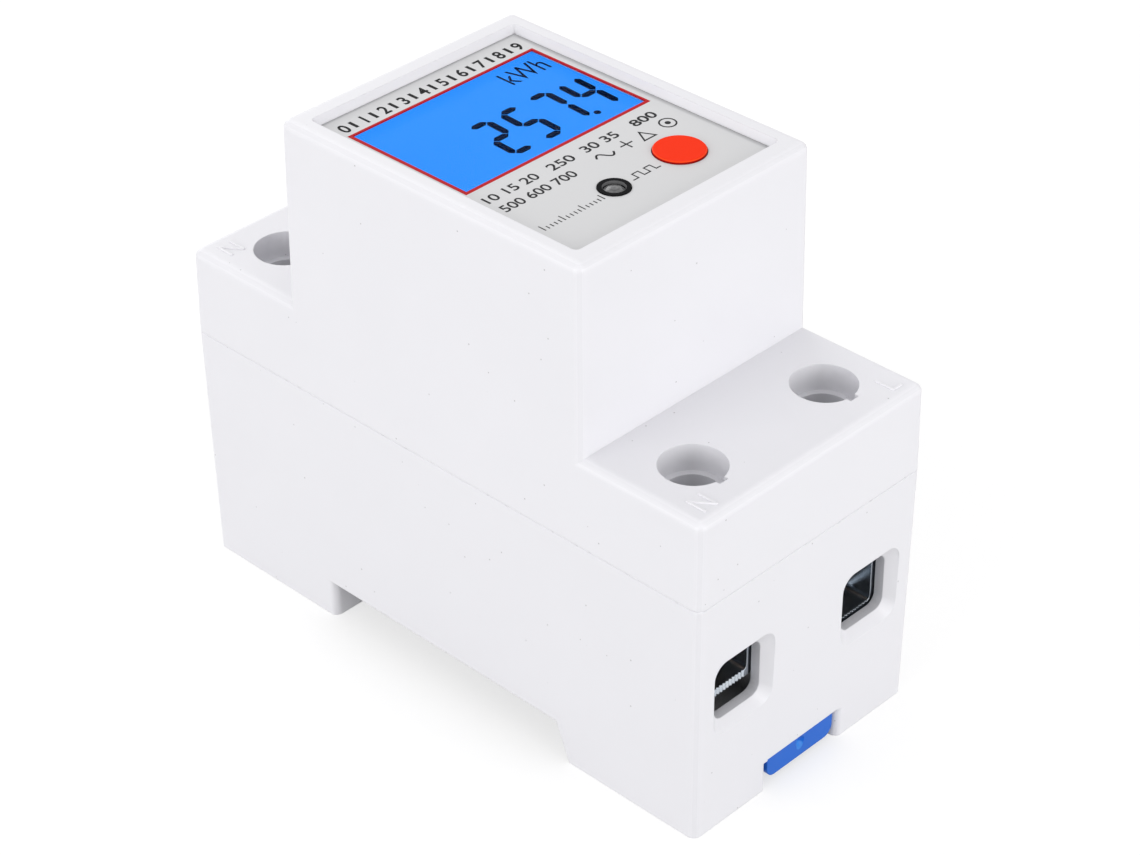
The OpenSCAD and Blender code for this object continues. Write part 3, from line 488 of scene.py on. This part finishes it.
def clip_material(name, centre_x, centre_z, radius, front_y):
    """Glossy blue with a painted highlight of the dimple: paler within radius of its centre, which lies on the
    front face.
    """
    made, tree, group = surface_material(
        name, moulded_surface, specular=0.25, Edge_Radius=0.0002, Grain_Scale=4200.0,
        Grain_Depth=0.000003, Shade_Spread=0.15, Gloss=0.26, Gloss_Spread=0.12,
    )
    far = distance_from(tree, (centre_x, front_y, centre_z))
    # Painted highlight: the blue turns paler round the dimple's centre.
    dimple_highlight = remap(tree, far, radius, radius * 0.8, interpolation_type="SMOOTHSTEP")
    fill(tree, group, Tone=blend(tree, dimple_highlight, (0.003, 0.135, 0.66), (0.03, 0.24, 0.76)))
    return made


clip_blue = clip_material("clip_blue", (clip_low.x + clip_high.x) / 2, (clip_low.z + clip_high.z) / 2,
                          DIMPLE_RADIUS, clip_low.y)
dress(clip_blue, "rail_clip")
spring_steel = metal_material(
    "spring_steel", (0.52, 0.51, 0.50), (0.35, 0.33, 0.30), 0.22, (4000.0, 4000.0, 4000.0),
    cloud=0.4, edge=0.00002,
)
dress(spring_steel, "clip_spring")
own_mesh(nodes["clip_spring"])


# ---- Circuit boards
# Both boards are glass-fibre laminate with green lacquer. Copper tracks show through it as a
# pattern of lanes, raised a little between them.


def board_material(name, lane_scale):
    """Green lacquer over lanes: a brick pattern whose darker joints stand up a little."""
    made, tree, shader = new_material(name)
    lanes = add_node(
        tree, "TexBrick", Vector=object_place(tree), Scale=lane_scale, Mortar_Size=0.03,
        Color1=(0.014, 0.13, 0.05), Color2=(0.02, 0.17, 0.07), Mortar=(0.008, 0.085, 0.035),
    ).outputs
    fill(tree, shader, Base_Color=lanes["Color"], Roughness=0.32, Coat_Weight=0.4,
         Normal=relief(tree, lanes["Fac"], 0.00003, 0.6))
    return made


dress(board_material("board_green", 260.0), "main_board", "display_board")
steel_screw = metal_material(
    "small_screw_steel", (0.58, 0.57, 0.56), (0.42, 0.42, 0.43), 0.25, (3000.0, 3000.0, 600.0), cloud=0.5
)
dress(steel_screw, "board_screws", "display_screws")


# ---- Parts on the main board
# A supply of film capacitor, varistor, resistor and electrolytic can stands at the near end.
# The measuring chip, its controller, a memory and a crystal can lie at the far end.

chip_black = moulded_material(
    "chip_black", (0.021, 0.022, 0.024), Gloss=0.5, Edge_Radius=0.00006, Grain_Scale=9000.0,
    Grain_Depth=0.000003, Shade_Spread=0.3, Gloss_Spread=0.15,
)
dress(chip_black, "metering_chip", "controller_chip", "memory_chip")
can_metal = metal_material(
    "crystal_can", (0.68, 0.68, 0.69), (0.5, 0.5, 0.52), 0.18, (2500.0, 300.0, 300.0), cloud=0.4
)
dress(can_metal, "crystal")
film_yellow = moulded_material(
    "film_capacitor_yellow", (0.78, 0.52, 0.035), Gloss=0.22, Edge_Radius=0.0003, Grain_Scale=1500.0,
    Grain_Depth=0.000004, Shade_Spread=0.08, Gloss_Spread=0.08,
)
dress(film_yellow, "film_capacitor")
disc_blue = moulded_material(
    "varistor_blue", (0.018, 0.10, 0.46), Gloss=0.28, Edge_Radius=0.0006, Grain_Scale=700.0,
    Grain_Depth=0.00002, Shade_Spread=0.15, Gloss_Spread=0.15,
)
dress(disc_blue, "varistor")
SLEEVE_END = 0.0003
BAND_PLACES, BAND_WIDTH = (-0.0030, -0.0014, 0.0002, 0.0030), 0.0007
BAND_TONES = ((0.25, 0.02, 0.01), (0.02, 0.02, 0.02), (0.4, 0.12, 0.01), (0.5, 0.35, 0.05))


def sleeve_material(name, top):
    """Dark shrink sleeve, with bare aluminium above top."""
    made, tree, shader = new_material(name)
    place = object_place(tree)
    bare = calculate(tree, "GREATER_THAN", add_node(tree, "SeparateXYZ", place).outputs["Z"], top)
    fill(tree, shader, Base_Color=blend(tree, bare, (0.012, 0.016, 0.055), (0.72, 0.72, 0.73)),
         Metallic=bare, Roughness=remap(tree, noise(tree, place, 600.0, 2.0), 0.0, 1.0, 0.18, 0.38))
    return made


can_low, can_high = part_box("smoothing_capacitor")
dress(sleeve_material("can_sleeve", can_high.z - SLEEVE_END), "smoothing_capacitor")


def banded_material(name, ground, bands, along, width):
    """Mottled lacquer with colour bands: each covers width metres round its place on the Y axis."""
    made, tree, shader = new_material(name)
    place = object_place(tree)
    length = add_node(tree, "SeparateXYZ", place).outputs["Y"]
    colour = blend(tree, noise(tree, place, 900.0, 2.0), ground, tuple(0.8 * c for c in ground))
    for at, tone in zip(along, bands):
        colour = blend(tree, calculate(tree, "COMPARE", length, at, width / 2), colour, tone)
    fill(tree, shader, Base_Color=colour, Roughness=0.3)
    return made


drop_low, drop_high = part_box("dropper_resistor")
drop_middle = (drop_low.y + drop_high.y) / 2
resistor_beige = banded_material(
    "resistor_beige", (0.55, 0.36, 0.18), BAND_TONES, [drop_middle + d for d in BAND_PLACES], BAND_WIDTH
)
dress(resistor_beige, "dropper_resistor")
pin_strip = moulded_material(
    "pin_strip_black", (0.018, 0.018, 0.02), Gloss=0.45, Edge_Radius=0.0001, Grain_Scale=5000.0,
    Grain_Depth=0.000003, Shade_Spread=0.25, Gloss_Spread=0.1,
)
dress(pin_strip, "board_link", "button_switch", "switch_plunger")


# ---- Display holder, backlight and contact strip
# A white tray holds the display glass over an acrylic light plate. A strip of rubber with
# thin conducting layers joins the glass to the board.

tray_white = moulded_material(
    "tray_white", (0.78, 0.78, 0.77), Gloss=0.5, Edge_Radius=0.00015, Grain_Scale=4000.0,
    Grain_Depth=0.000002, Shade_Spread=0.05, Gloss_Spread=0.05,
)
dress(tray_white, "display_holder")


def light_plate_material(name):
    """Milky acrylic with a fine dot pattern that spreads the light of the lamps at its edge."""
    made, tree, shader = new_material(name)
    dots = add_node(tree, "TexVoronoi", Vector=object_place(tree), Scale=1600.0).outputs["Distance"]
    spread = blend(tree, dots, (0.80, 0.88, 0.98), (0.55, 0.72, 0.98))
    fill(tree, shader, Base_Color=spread, Emission_Color=spread, Emission_Strength=0.25, Roughness=0.25)
    return made


dress(light_plate_material("light_plate"), "backlight_plate")


def layered_rubber_material(name, layers):
    """Rubber whose colour waves between black and grey along X, once for each layer."""
    made, tree, shader = new_material(name)
    waves = add_node(tree, "TexWave", Vector=object_place(tree), Scale=layers, bands_direction="X")
    tint = blend(tree, waves.outputs["Fac"], (0.015, 0.015, 0.015), (0.16, 0.16, 0.17))
    fill(tree, shader, Base_Color=tint, Roughness=0.7)
    return made


dress(layered_rubber_material("contact_rubber", 700.0), "contact_strip")


# ---- Display glass and its segments
# Two glass plates with liquid crystal between them, lit blue from behind. The dark segments
# show a plain number, slanted by three degrees, with the unit in small letters above it.

glass_low, glass_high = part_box("display_glass")
SEGMENT_Z = glass_high.z
SEGMENT_TOP = SEGMENT_Z + 0.00002
DIGIT_HEIGHT, DIGIT_WIDTH, SEGMENT_WIDTH, DIGIT_STEP = 0.0081, 0.0033, 0.00092, 0.00452
DIGIT_LEFT, DIGIT_FOOT, DIGIT_SLANT = -0.00377, 0.00044, 0.055
SEGMENT_GAP, POINT_RADIUS, POINT_SHIFT = 0.00008, 0.00042, 0.00055


def lit_blue_material(name):
    """Even blue light behind glass, with a slow and faint change of tone."""
    made, tree, shader = new_material(name)
    glow = blend(tree, noise(tree, object_place(tree), 60.0, 1.0), (0.018, 0.262, 1.0), (0.026, 0.288, 1.0))
    fill(tree, shader, Base_Color=(0.01, 0.02, 0.05), Emission_Color=glow, Emission_Strength=1.02,
         Roughness=0.12, Specular_IOR_Level=0.0)
    return made


dress(lit_blue_material("display_blue"), "display_glass")


def segment_outline(x0, y0, x1, y1, width, gap):
    """Six-sided segment between two corners of a digit: pointed at both ends at 45 degrees,
    half its width before the corner, less a gap."""
    start, end = np.array([x0, y0]), np.array([x1, y1])
    along = (end - start) / np.linalg.norm(end - start)
    side = np.array([-along[1], along[0]])
    h = width / 2
    a, b = start + along * gap, end - along * gap
    return np.array([a, a + along * h - side * h, b - along * h - side * h,
                     b, b - along * h + side * h, a + along * h + side * h])


def digit_segments(digit, left, foot):
    """Outlines of the lit segments of a seven-segment digit, sheared to the right by its slant."""
    h = SEGMENT_WIDTH / 2
    x0, x1 = left + h, left + DIGIT_WIDTH - h
    y0, ym, y1 = foot + h, foot + DIGIT_HEIGHT / 2, foot + DIGIT_HEIGHT - h
    ends = {
        "a": (x0, y1, x1, y1), "b": (x1, ym, x1, y1), "c": (x1, y0, x1, ym), "d": (x0, y0, x1, y0),
        "e": (x0, y0, x0, ym), "f": (x0, ym, x0, y1), "g": (x0, ym, x1, ym),
    }
    lit = {"0": "abcdef", "1": "bc", "2": "abged", "3": "abgcd", "4": "fgbc", "5": "afgcd",
           "6": "afgedc", "7": "abc", "8": "abcdefg", "9": "abcdfg"}[digit]
    made = [segment_outline(*ends[s], SEGMENT_WIDTH, SEGMENT_GAP) for s in lit]
    for outline in made:
        outline[:, 0] += (outline[:, 1] - foot) * DIGIT_SLANT
    return made


def circle_loop(x, y, radius):
    """Points round a circle: (x + radius cos t, y + radius sin t)."""
    turn = np.linspace(0, 2 * math.pi, 32, endpoint=False)
    return np.array([x, y]) + radius * np.stack([np.cos(turn), np.sin(turn)], -1)


digit_outlines = []
for place, digit in enumerate("2574"):
    digit_outlines += digit_segments(digit, DIGIT_LEFT + place * DIGIT_STEP, DIGIT_FOOT)
digit_outlines.append(
    circle_loop(DIGIT_LEFT + 3 * DIGIT_STEP - POINT_SHIFT, DIGIT_FOOT + POINT_RADIUS, POINT_RADIUS)
)


def mottled_material(name, first, second, scale, detail, specular):
    """Satin surface whose colour wanders between two tones."""
    made, tree, shader = new_material(name)
    fill(tree, shader, Base_Color=blend(tree, noise(tree, object_place(tree), scale, detail), first, second),
         Roughness=0.5, Specular_IOR_Level=specular)
    return made


def lettering_mesh(name, words, x0, x1, y0, y1, bold, z0, z1):
    """Mesh of a line of signs, with strokes thickened by bold of their size, scaled to fill
    the box x0..x1 by y0..y1 and z0..z1."""
    line = bpy.data.curves.new(name, "FONT")
    line.body = words
    line.extrude = 0.01
    line.offset = bold
    holder = bpy.data.objects.new(name, line)
    bpy.context.scene.collection.objects.link(holder)
    bpy.context.view_layer.update()
    shown = holder.evaluated_get(bpy.context.evaluated_depsgraph_get())
    made = bpy.data.meshes.new_from_object(shown)
    bpy.data.objects.remove(holder)
    points = np.zeros(len(made.vertices) * 3)
    made.vertices.foreach_get("co", points)
    points = points.reshape(-1, 3)
    low, high = points.min(0), points.max(0)
    target_low, target_high = np.array([x0, y0, z0]), np.array([x1, y1, z1])
    points = target_low + (points - low) / (high - low) * (target_high - target_low)
    made.vertices.foreach_set("co", points.astype(np.float32).ravel())
    made.materials.clear()
    made.update()
    return made


segment_dark = mottled_material("segment_dark", (0.0, 0.004, 0.026), (0.0, 0.006, 0.036), 900.0, 1.0, 0.0)
digit_mesh = flat_plates("display_segments", digit_outlines, SEGMENT_Z, SEGMENT_TOP)
add_piece("display_segments", digit_mesh, segment_dark, "housing")
unit_mesh = lettering_mesh(
    "display_unit", "kWh", 0.00745, 0.01345, 0.0118, 0.0147, 0.0, SEGMENT_Z, SEGMENT_TOP
)
add_piece("display_unit", unit_mesh, segment_dark, "housing")


# ---- Face film and its print
# A light grey polyester film lies on the pane, with a red line round the display opening.
# Plain numbers, scale marks and simple signs are screen printed in dark grey and black.

film_low, film_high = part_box("face_film")
PRINT_Z = film_high.z
PRINT_TOP = PRINT_Z + 0.00001
FILM_GREY, FILM_SHADE = (0.665, 0.665, 0.675), (0.38, 0.38, 0.39)
WINDOW = (-0.01364, 0.01364, -0.00221, 0.01516)
INK_GAP, INK_COAT = 0.00001, 0.00002
LINE_NEAR, LINE_FAR = 0.00048, 0.00030
SCALE_LEFT, SCALE_STEP, SCALE_MARK = -0.0133, 0.0264 / 9, (0.01692, 0.00042, 0.0015)
DOT_X, SIGN_Y, SIGN_LINE = 0.0116, -0.0073, 0.0002
DOT_RADIUS, CIRCLE_INSIDE, CIRCLE_OUTSIDE = 0.00034, 0.00085, 0.00105
CROSS_X, CROSS_REACH = 0.0051, 0.0009
WAVE_LEFT, WAVE_LENGTH, WAVE_HEIGHT, WAVE_LINE = 0.0006, 0.0025, 0.0006, 0.00024
PULSE_LOW, PULSE_HIGH, PULSE_LINE = -0.0131, -0.0121, 0.00016
TICK_LEFT, TICK_STEP, TICK_FOOT, TICK_LINE = -0.0135, 0.00058, -0.0136, 0.00014
TICK_LONG, TICK_SHORT = 0.0011, 0.0006


def film_material(name, right_x, back_y):
    """Even light grey with painted shadow: it falls to a darker grey in the last 0.8 mm before the
    right edge and 0.5 mm before the back edge, where the frame's far walls shade the film."""
    made, tree, group = surface_material(
        name, moulded_surface, Gloss=0.4, Edge_Radius=0.00004, Grain_Scale=7000.0,
        Grain_Depth=0.0000015, Shade_Spread=0.03, Gloss_Spread=0.06,
    )
    split = add_node(tree, "SeparateXYZ", object_place(tree)).outputs
    right = remap(tree, split["X"], right_x - 0.0008, right_x, interpolation_type="SMOOTHSTEP")
    back = remap(tree, split["Y"], back_y - 0.0005, back_y, interpolation_type="SMOOTHSTEP")
    # Painted shadow of the frame's far walls on the film.
    frame_wall_shadow = calculate(tree, "MAXIMUM", right, back)
    fill(tree, group, Tone=blend(tree, frame_wall_shadow, FILM_GREY, FILM_SHADE))
    return made


dress(film_material("film_grey", film_high.x, film_high.y), "face_film")


def ink_material(name, tone, spread):
    """Screen-printed ink with a slightly uneven cover."""
    return mottled_material(name, tone, tuple(c + spread for c in tone), 5000.0, 2.0, 0.1)


ink_red = ink_material("ink_red", (0.50, 0.002, 0.007), 0.006)
ink_black = ink_material("ink_black", (0.004, 0.004, 0.005), 0.004)
ink_grey = ink_material("ink_grey", (0.014, 0.014, 0.016), 0.012)


def hoop_plate(name, inner, outer, z0, z1):
    """Closed flat hoop between an inner and an outer loop of as many points, from z0 to z1."""
    inner, outer = np.asarray(inner, float), np.asarray(outer, float)
    count = len(inner)
    loops = [np.column_stack([loop, np.full(count, z)]) for z in (z0, z1) for loop in (inner, outer)]
    i = np.arange(count)
    j = (i + 1) % count
    low_in, low_out, top_in, top_out = (k * count for k in range(4))
    faces = [
        np.stack([i + low_in, j + low_in, j + low_out, i + low_out], -1),
        np.stack([i + top_in, i + top_out, j + top_out, j + top_in], -1),
        np.stack([i + low_out, j + low_out, j + top_out, i + top_out], -1),
        np.stack([i + low_in, i + top_in, j + top_in, j + low_in], -1),
    ]
    made = bpy.data.meshes.new(name)
    made.from_pydata(np.concatenate(loops), [], np.concatenate(faces).tolist())
    return made


def frame_loops(x0, x1, y0, y1, near, far):
    """Inner and outer loop of a frame round a rectangle, near wide at x0 and y0, far at x1 and y1."""
    inner = np.array([(x0, y0), (x1, y0), (x1, y1), (x0, y1)])
    return inner, inner + np.array([(-near, -near), (far, -near), (far, far), (-near, far)])


def print_shape(name, ink, shape, *what):
    """One coat of ink on the film, a mesh that shape makes of what."""
    return add_piece(name, shape(name, *what, PRINT_Z, PRINT_TOP), ink, "housing")


inset = INK_GAP + INK_COAT
printed = (WINDOW[0] + inset, WINDOW[1] - inset, WINDOW[2] + inset, WINDOW[3] - inset)
print_shape("window_line", ink_red, hoop_plate, *frame_loops(*printed, LINE_NEAR, LINE_FAR))
edge_mesh = hoop_plate("window_edge", *frame_loops(*printed, INK_COAT, INK_COAT), film_low.z, PRINT_Z)
add_piece("window_edge", edge_mesh, ink_red, "housing")


def rectangle(x, y, w, h):
    """Corners of an upright rectangle centred at x, y."""
    x0, x1, y0, y1 = x - w / 2, x + w / 2, y - h / 2, y + h / 2
    return np.array([(x0, y0), (x1, y0), (x1, y1), (x0, y1)])


def path_outline(points, line):
    """Outline of an open path of the line's width. At a corner between the unit normals s and t
    it is mitred by (s + t) / (1 + s t)."""
    points = np.asarray(points, float)
    along = np.diff(points, axis=0)
    along /= np.linalg.norm(along, axis=1, keepdims=True)
    side = np.column_stack([-along[:, 1], along[:, 0]])
    turned = 1 + (side[:-1] * side[1:]).sum(1, keepdims=True)
    offset = line / 2 * np.concatenate([side[:1], (side[:-1] + side[1:]) / turned, side[-1:]])
    return np.concatenate([points - offset, (points + offset)[::-1]])


def cross_outline(x, y, reach, line):
    """Outline of an upright cross with arms that reach from its centre x, y."""
    h, r = line / 2, reach
    arm = np.array([(-h, -r), (h, -r), (h, -h)])
    quarter = np.array([[0, 1], [-1, 0]])
    turned = [arm @ np.linalg.matrix_power(quarter, k) for k in range(4)]
    return np.array([x, y]) + np.concatenate(turned)


def triangle_loops(corners, line):
    """Inner and outer loop of a triangle's line. Both are the triangle scaled about the centre
    of its inscribed circle, by one less and plus half the line over that circle's radius."""
    corners = np.asarray(corners, float)
    opposite = np.linalg.norm(np.roll(corners, -1, 0) - np.roll(corners, -2, 0), axis=1)
    centre = (opposite[:, None] * corners).sum(0) / opposite.sum()
    (ax, ay), (bx, by) = corners[1] - corners[0], corners[2] - corners[0]
    share = line / 2 * opposite.sum() / abs(ax * by - ay * bx)
    return centre + (corners - centre) * (1 - share), centre + (corners - centre) * (1 + share)


print_shape("scale_numbers", ink_black, lettering_mesh,
            "0   1   2   3   4   5   6   7   8   9", -0.0137, 0.0136, 0.01600, 0.01785, 0.022)
scale_marks = [rectangle(SCALE_LEFT + (step + 0.5) * SCALE_STEP, *SCALE_MARK) for step in range(9)]
print_shape("scale_marks", ink_black, flat_plates, scale_marks)

for line_name, *line_shape in (
    ("numbers_first_left", "10 15 20", -0.0137, -0.0061, -0.0057, -0.0043, 0.012),
    ("numbers_first_second", "250", -0.0043, -0.0007, -0.0057, -0.0043, 0.012),
    ("numbers_first_third", "30 35", 0.0009, 0.0061, -0.0056, -0.0042, 0.015),
    ("numbers_first_right", "800", 0.0086, 0.0122, -0.0055, -0.0041, 0.02),
    ("numbers_second", "500 600 700", -0.0137, -0.0030, -0.0082, -0.0068, 0.012),
):
    print_shape(line_name, ink_grey, lettering_mesh, *line_shape)

circle = [circle_loop(DOT_X, SIGN_Y, radius) for radius in (CIRCLE_INSIDE, CIRCLE_OUTSIDE)]
print_shape("printed_circle", ink_grey, hoop_plate, *circle)
triangle = triangle_loops([(0.0070, -0.0082), (0.0088, -0.0082), (0.0079, -0.0065)], SIGN_LINE)
print_shape("printed_triangle", ink_grey, hoop_plate, *triangle)
wave_turn = np.linspace(0, 1, 25)
wave = np.column_stack([
    WAVE_LEFT + WAVE_LENGTH * wave_turn, SIGN_Y + WAVE_HEIGHT * np.sin(wave_turn * 2 * math.pi)
])
pulses = [
    (0.0000, PULSE_LOW), (0.0008, PULSE_LOW), (0.0008, PULSE_HIGH), (0.0017, PULSE_HIGH), (0.0017, PULSE_LOW),
    (0.0026, PULSE_LOW), (0.0026, PULSE_HIGH), (0.0035, PULSE_HIGH), (0.0035, PULSE_LOW), (0.0042, PULSE_LOW),
]
signs = [
    circle_loop(DOT_X, SIGN_Y, DOT_RADIUS),
    cross_outline(CROSS_X, SIGN_Y, CROSS_REACH, SIGN_LINE),
    path_outline(wave, WAVE_LINE),
    path_outline(pulses, PULSE_LINE),
]
for step in range(16):
    tall = TICK_SHORT if step % 5 else TICK_LONG
    signs.append(rectangle(TICK_LEFT + step * TICK_STEP, TICK_FOOT + tall / 2, TICK_LINE, tall))
print_shape("printed_signs", ink_grey, flat_plates, signs)


# ---- Face pane
# One clear acrylic plate under the film closes the face and is the window of the display.
# Only its window shows, polished and flat.


def clear_material(name):
    """Clear acrylic with faint long waves in its surface."""
    made, tree, shader = new_material(name)
    waves = noise(tree, object_place(tree), 120.0, 1.0)
    fill(tree, shader, Base_Color=(1.0, 1.0, 1.0), Roughness=0.0, IOR=1.06, Transmission_Weight=1.0,
         Normal=relief(tree, waves, 0.000002, 0.2))
    return made


dress(clear_material("pane_clear"), "face_pane")


# ---- Pulse lamp and its ring
# The lamp is a clear grey resin dome on two leads, unlit. A black plastic sleeve with a lip
# holds it in the face.

LEVEL = (1.0, 1.0, 0.0)
RING_BLACK, BORE_GREY, BORE_RADIUS = (0.004, 0.004, 0.005), (0.17, 0.17, 0.173), 0.00129
LENS_RADIUS = 0.00130
LENS_REFLECTION_RINGS = ((0.25, 0.17), (0.42, 0.09), (0.60, 0.19), (0.72, 0.13), (0.84, 0.30), (0.93, 0.16))


def tone_ramp(tree, value, stops):
    """Colour of a ramp at a value. Each stop is a place and a tone, and both ends come first."""
    ramp = add_node(tree, "ValToRGB", Fac=value)
    elements = ramp.color_ramp.elements
    for end, (at, tone) in enumerate(stops[:2]):
        elements[end].position, elements[end].color = at, (*tone, 1.0)
    for at, tone in stops[2:]:
        elements.new(at).color = (*tone, 1.0)
    return ramp.outputs["Color"]


def lens_material(name, axis_x, axis_y):
    """Smoky resin grey with painted reflections: lighter bands round the lamp's axis, darker towards the rim, and
    a wet gloss.
    """
    made, tree, shader = new_material(name)
    radius = remap(tree, distance_from(tree, (axis_x, axis_y, 0.0), LEVEL), 0.0, LENS_RADIUS)
    # Painted reflections: lighter bands round the axis stand in for light seen in the clear dome.
    reflection_rings = tone_ramp(tree, radius, [(0.0, (0.10, 0.10, 0.103)), (1.0, (0.03, 0.03, 0.032))]
                      + [(at, (level, level, level * 1.03)) for at, level in LENS_REFLECTION_RINGS])
    uneven = remap(tree, noise(tree, object_place(tree), 1400.0, 2.0), 0.0, 1.0, 0.5, 1.5)
    fill(tree, shader, Base_Color=scaled(tree, reflection_rings, uneven), Roughness=0.15)
    return made


lamp_low, lamp_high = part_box("pulse_lamp")
lamp_axis = ((lamp_low.x + lamp_high.x) / 2, (lamp_low.y + lamp_high.y) / 2)
dress(lens_material("lamp_lens", *lamp_axis), "pulse_lamp")


def ring_material(name, axis_x, axis_y, bore):
    """Matt black plastic, with the wall within the bore grey like the lamp's resin."""
    made, tree, group = surface_material(
        name, moulded_surface, specular=0.03, Gloss=0.4, Edge_Radius=0.0001, Grain_Scale=6000.0,
        Grain_Depth=0.000002, Shade_Spread=0.2, Gloss_Spread=0.1,
    )
    inside = calculate(tree, "LESS_THAN", distance_from(tree, (axis_x, axis_y, 0.0), LEVEL), bore)
    fill(tree, group, Tone=blend(tree, inside, RING_BLACK, BORE_GREY))
    return made


dress(ring_material("ring_black", *lamp_axis, BORE_RADIUS), "lamp_ring")


# ---- Function button
# A round cap of orange-red plastic stands a little proud of the film and springs back on its
# switch. Its wall carries painted shade at the foot, where the gap shades it, and a painted
# highlight on the broken edge.

# Painted shade in dark red at the foot, the cap's own orange-red, and a paler painted highlight on the broken
# edge.
BUTTON_TONES_SHADE_HIGHLIGHT = (
    (0.55, (0.33, 0.005, 0.004)), (1.0, (0.97, 0.034, 0.004)),
    (0.70, (0.97, 0.06, 0.012)), (0.97, (0.97, 0.075, 0.018)),
)


def button_material(name, film_z, top_z):
    """Satin orange-red with painted shade, dark red where the wall stands in the gap, and a
    painted highlight, paler on the broken edge. The tone follows (z - film_z) / (top_z - film_z)."""
    made, tree, group = surface_material(
        name, moulded_surface, specular=0.04, Edge_Radius=0.00005, Grain_Scale=5000.0,
        Grain_Depth=0.0000015, Shade_Spread=0.04, Gloss=0.42,
    )
    height = add_node(tree, "SeparateXYZ", object_place(tree)).outputs["Z"]
    fill(tree, group, Tone=tone_ramp(tree, remap(tree, height, film_z, top_z), BUTTON_TONES_SHADE_HIGHLIGHT))
    return made


cap_low, cap_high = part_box("function_button")
dress(button_material("button_red", film_high.z, cap_high.z), "function_button")
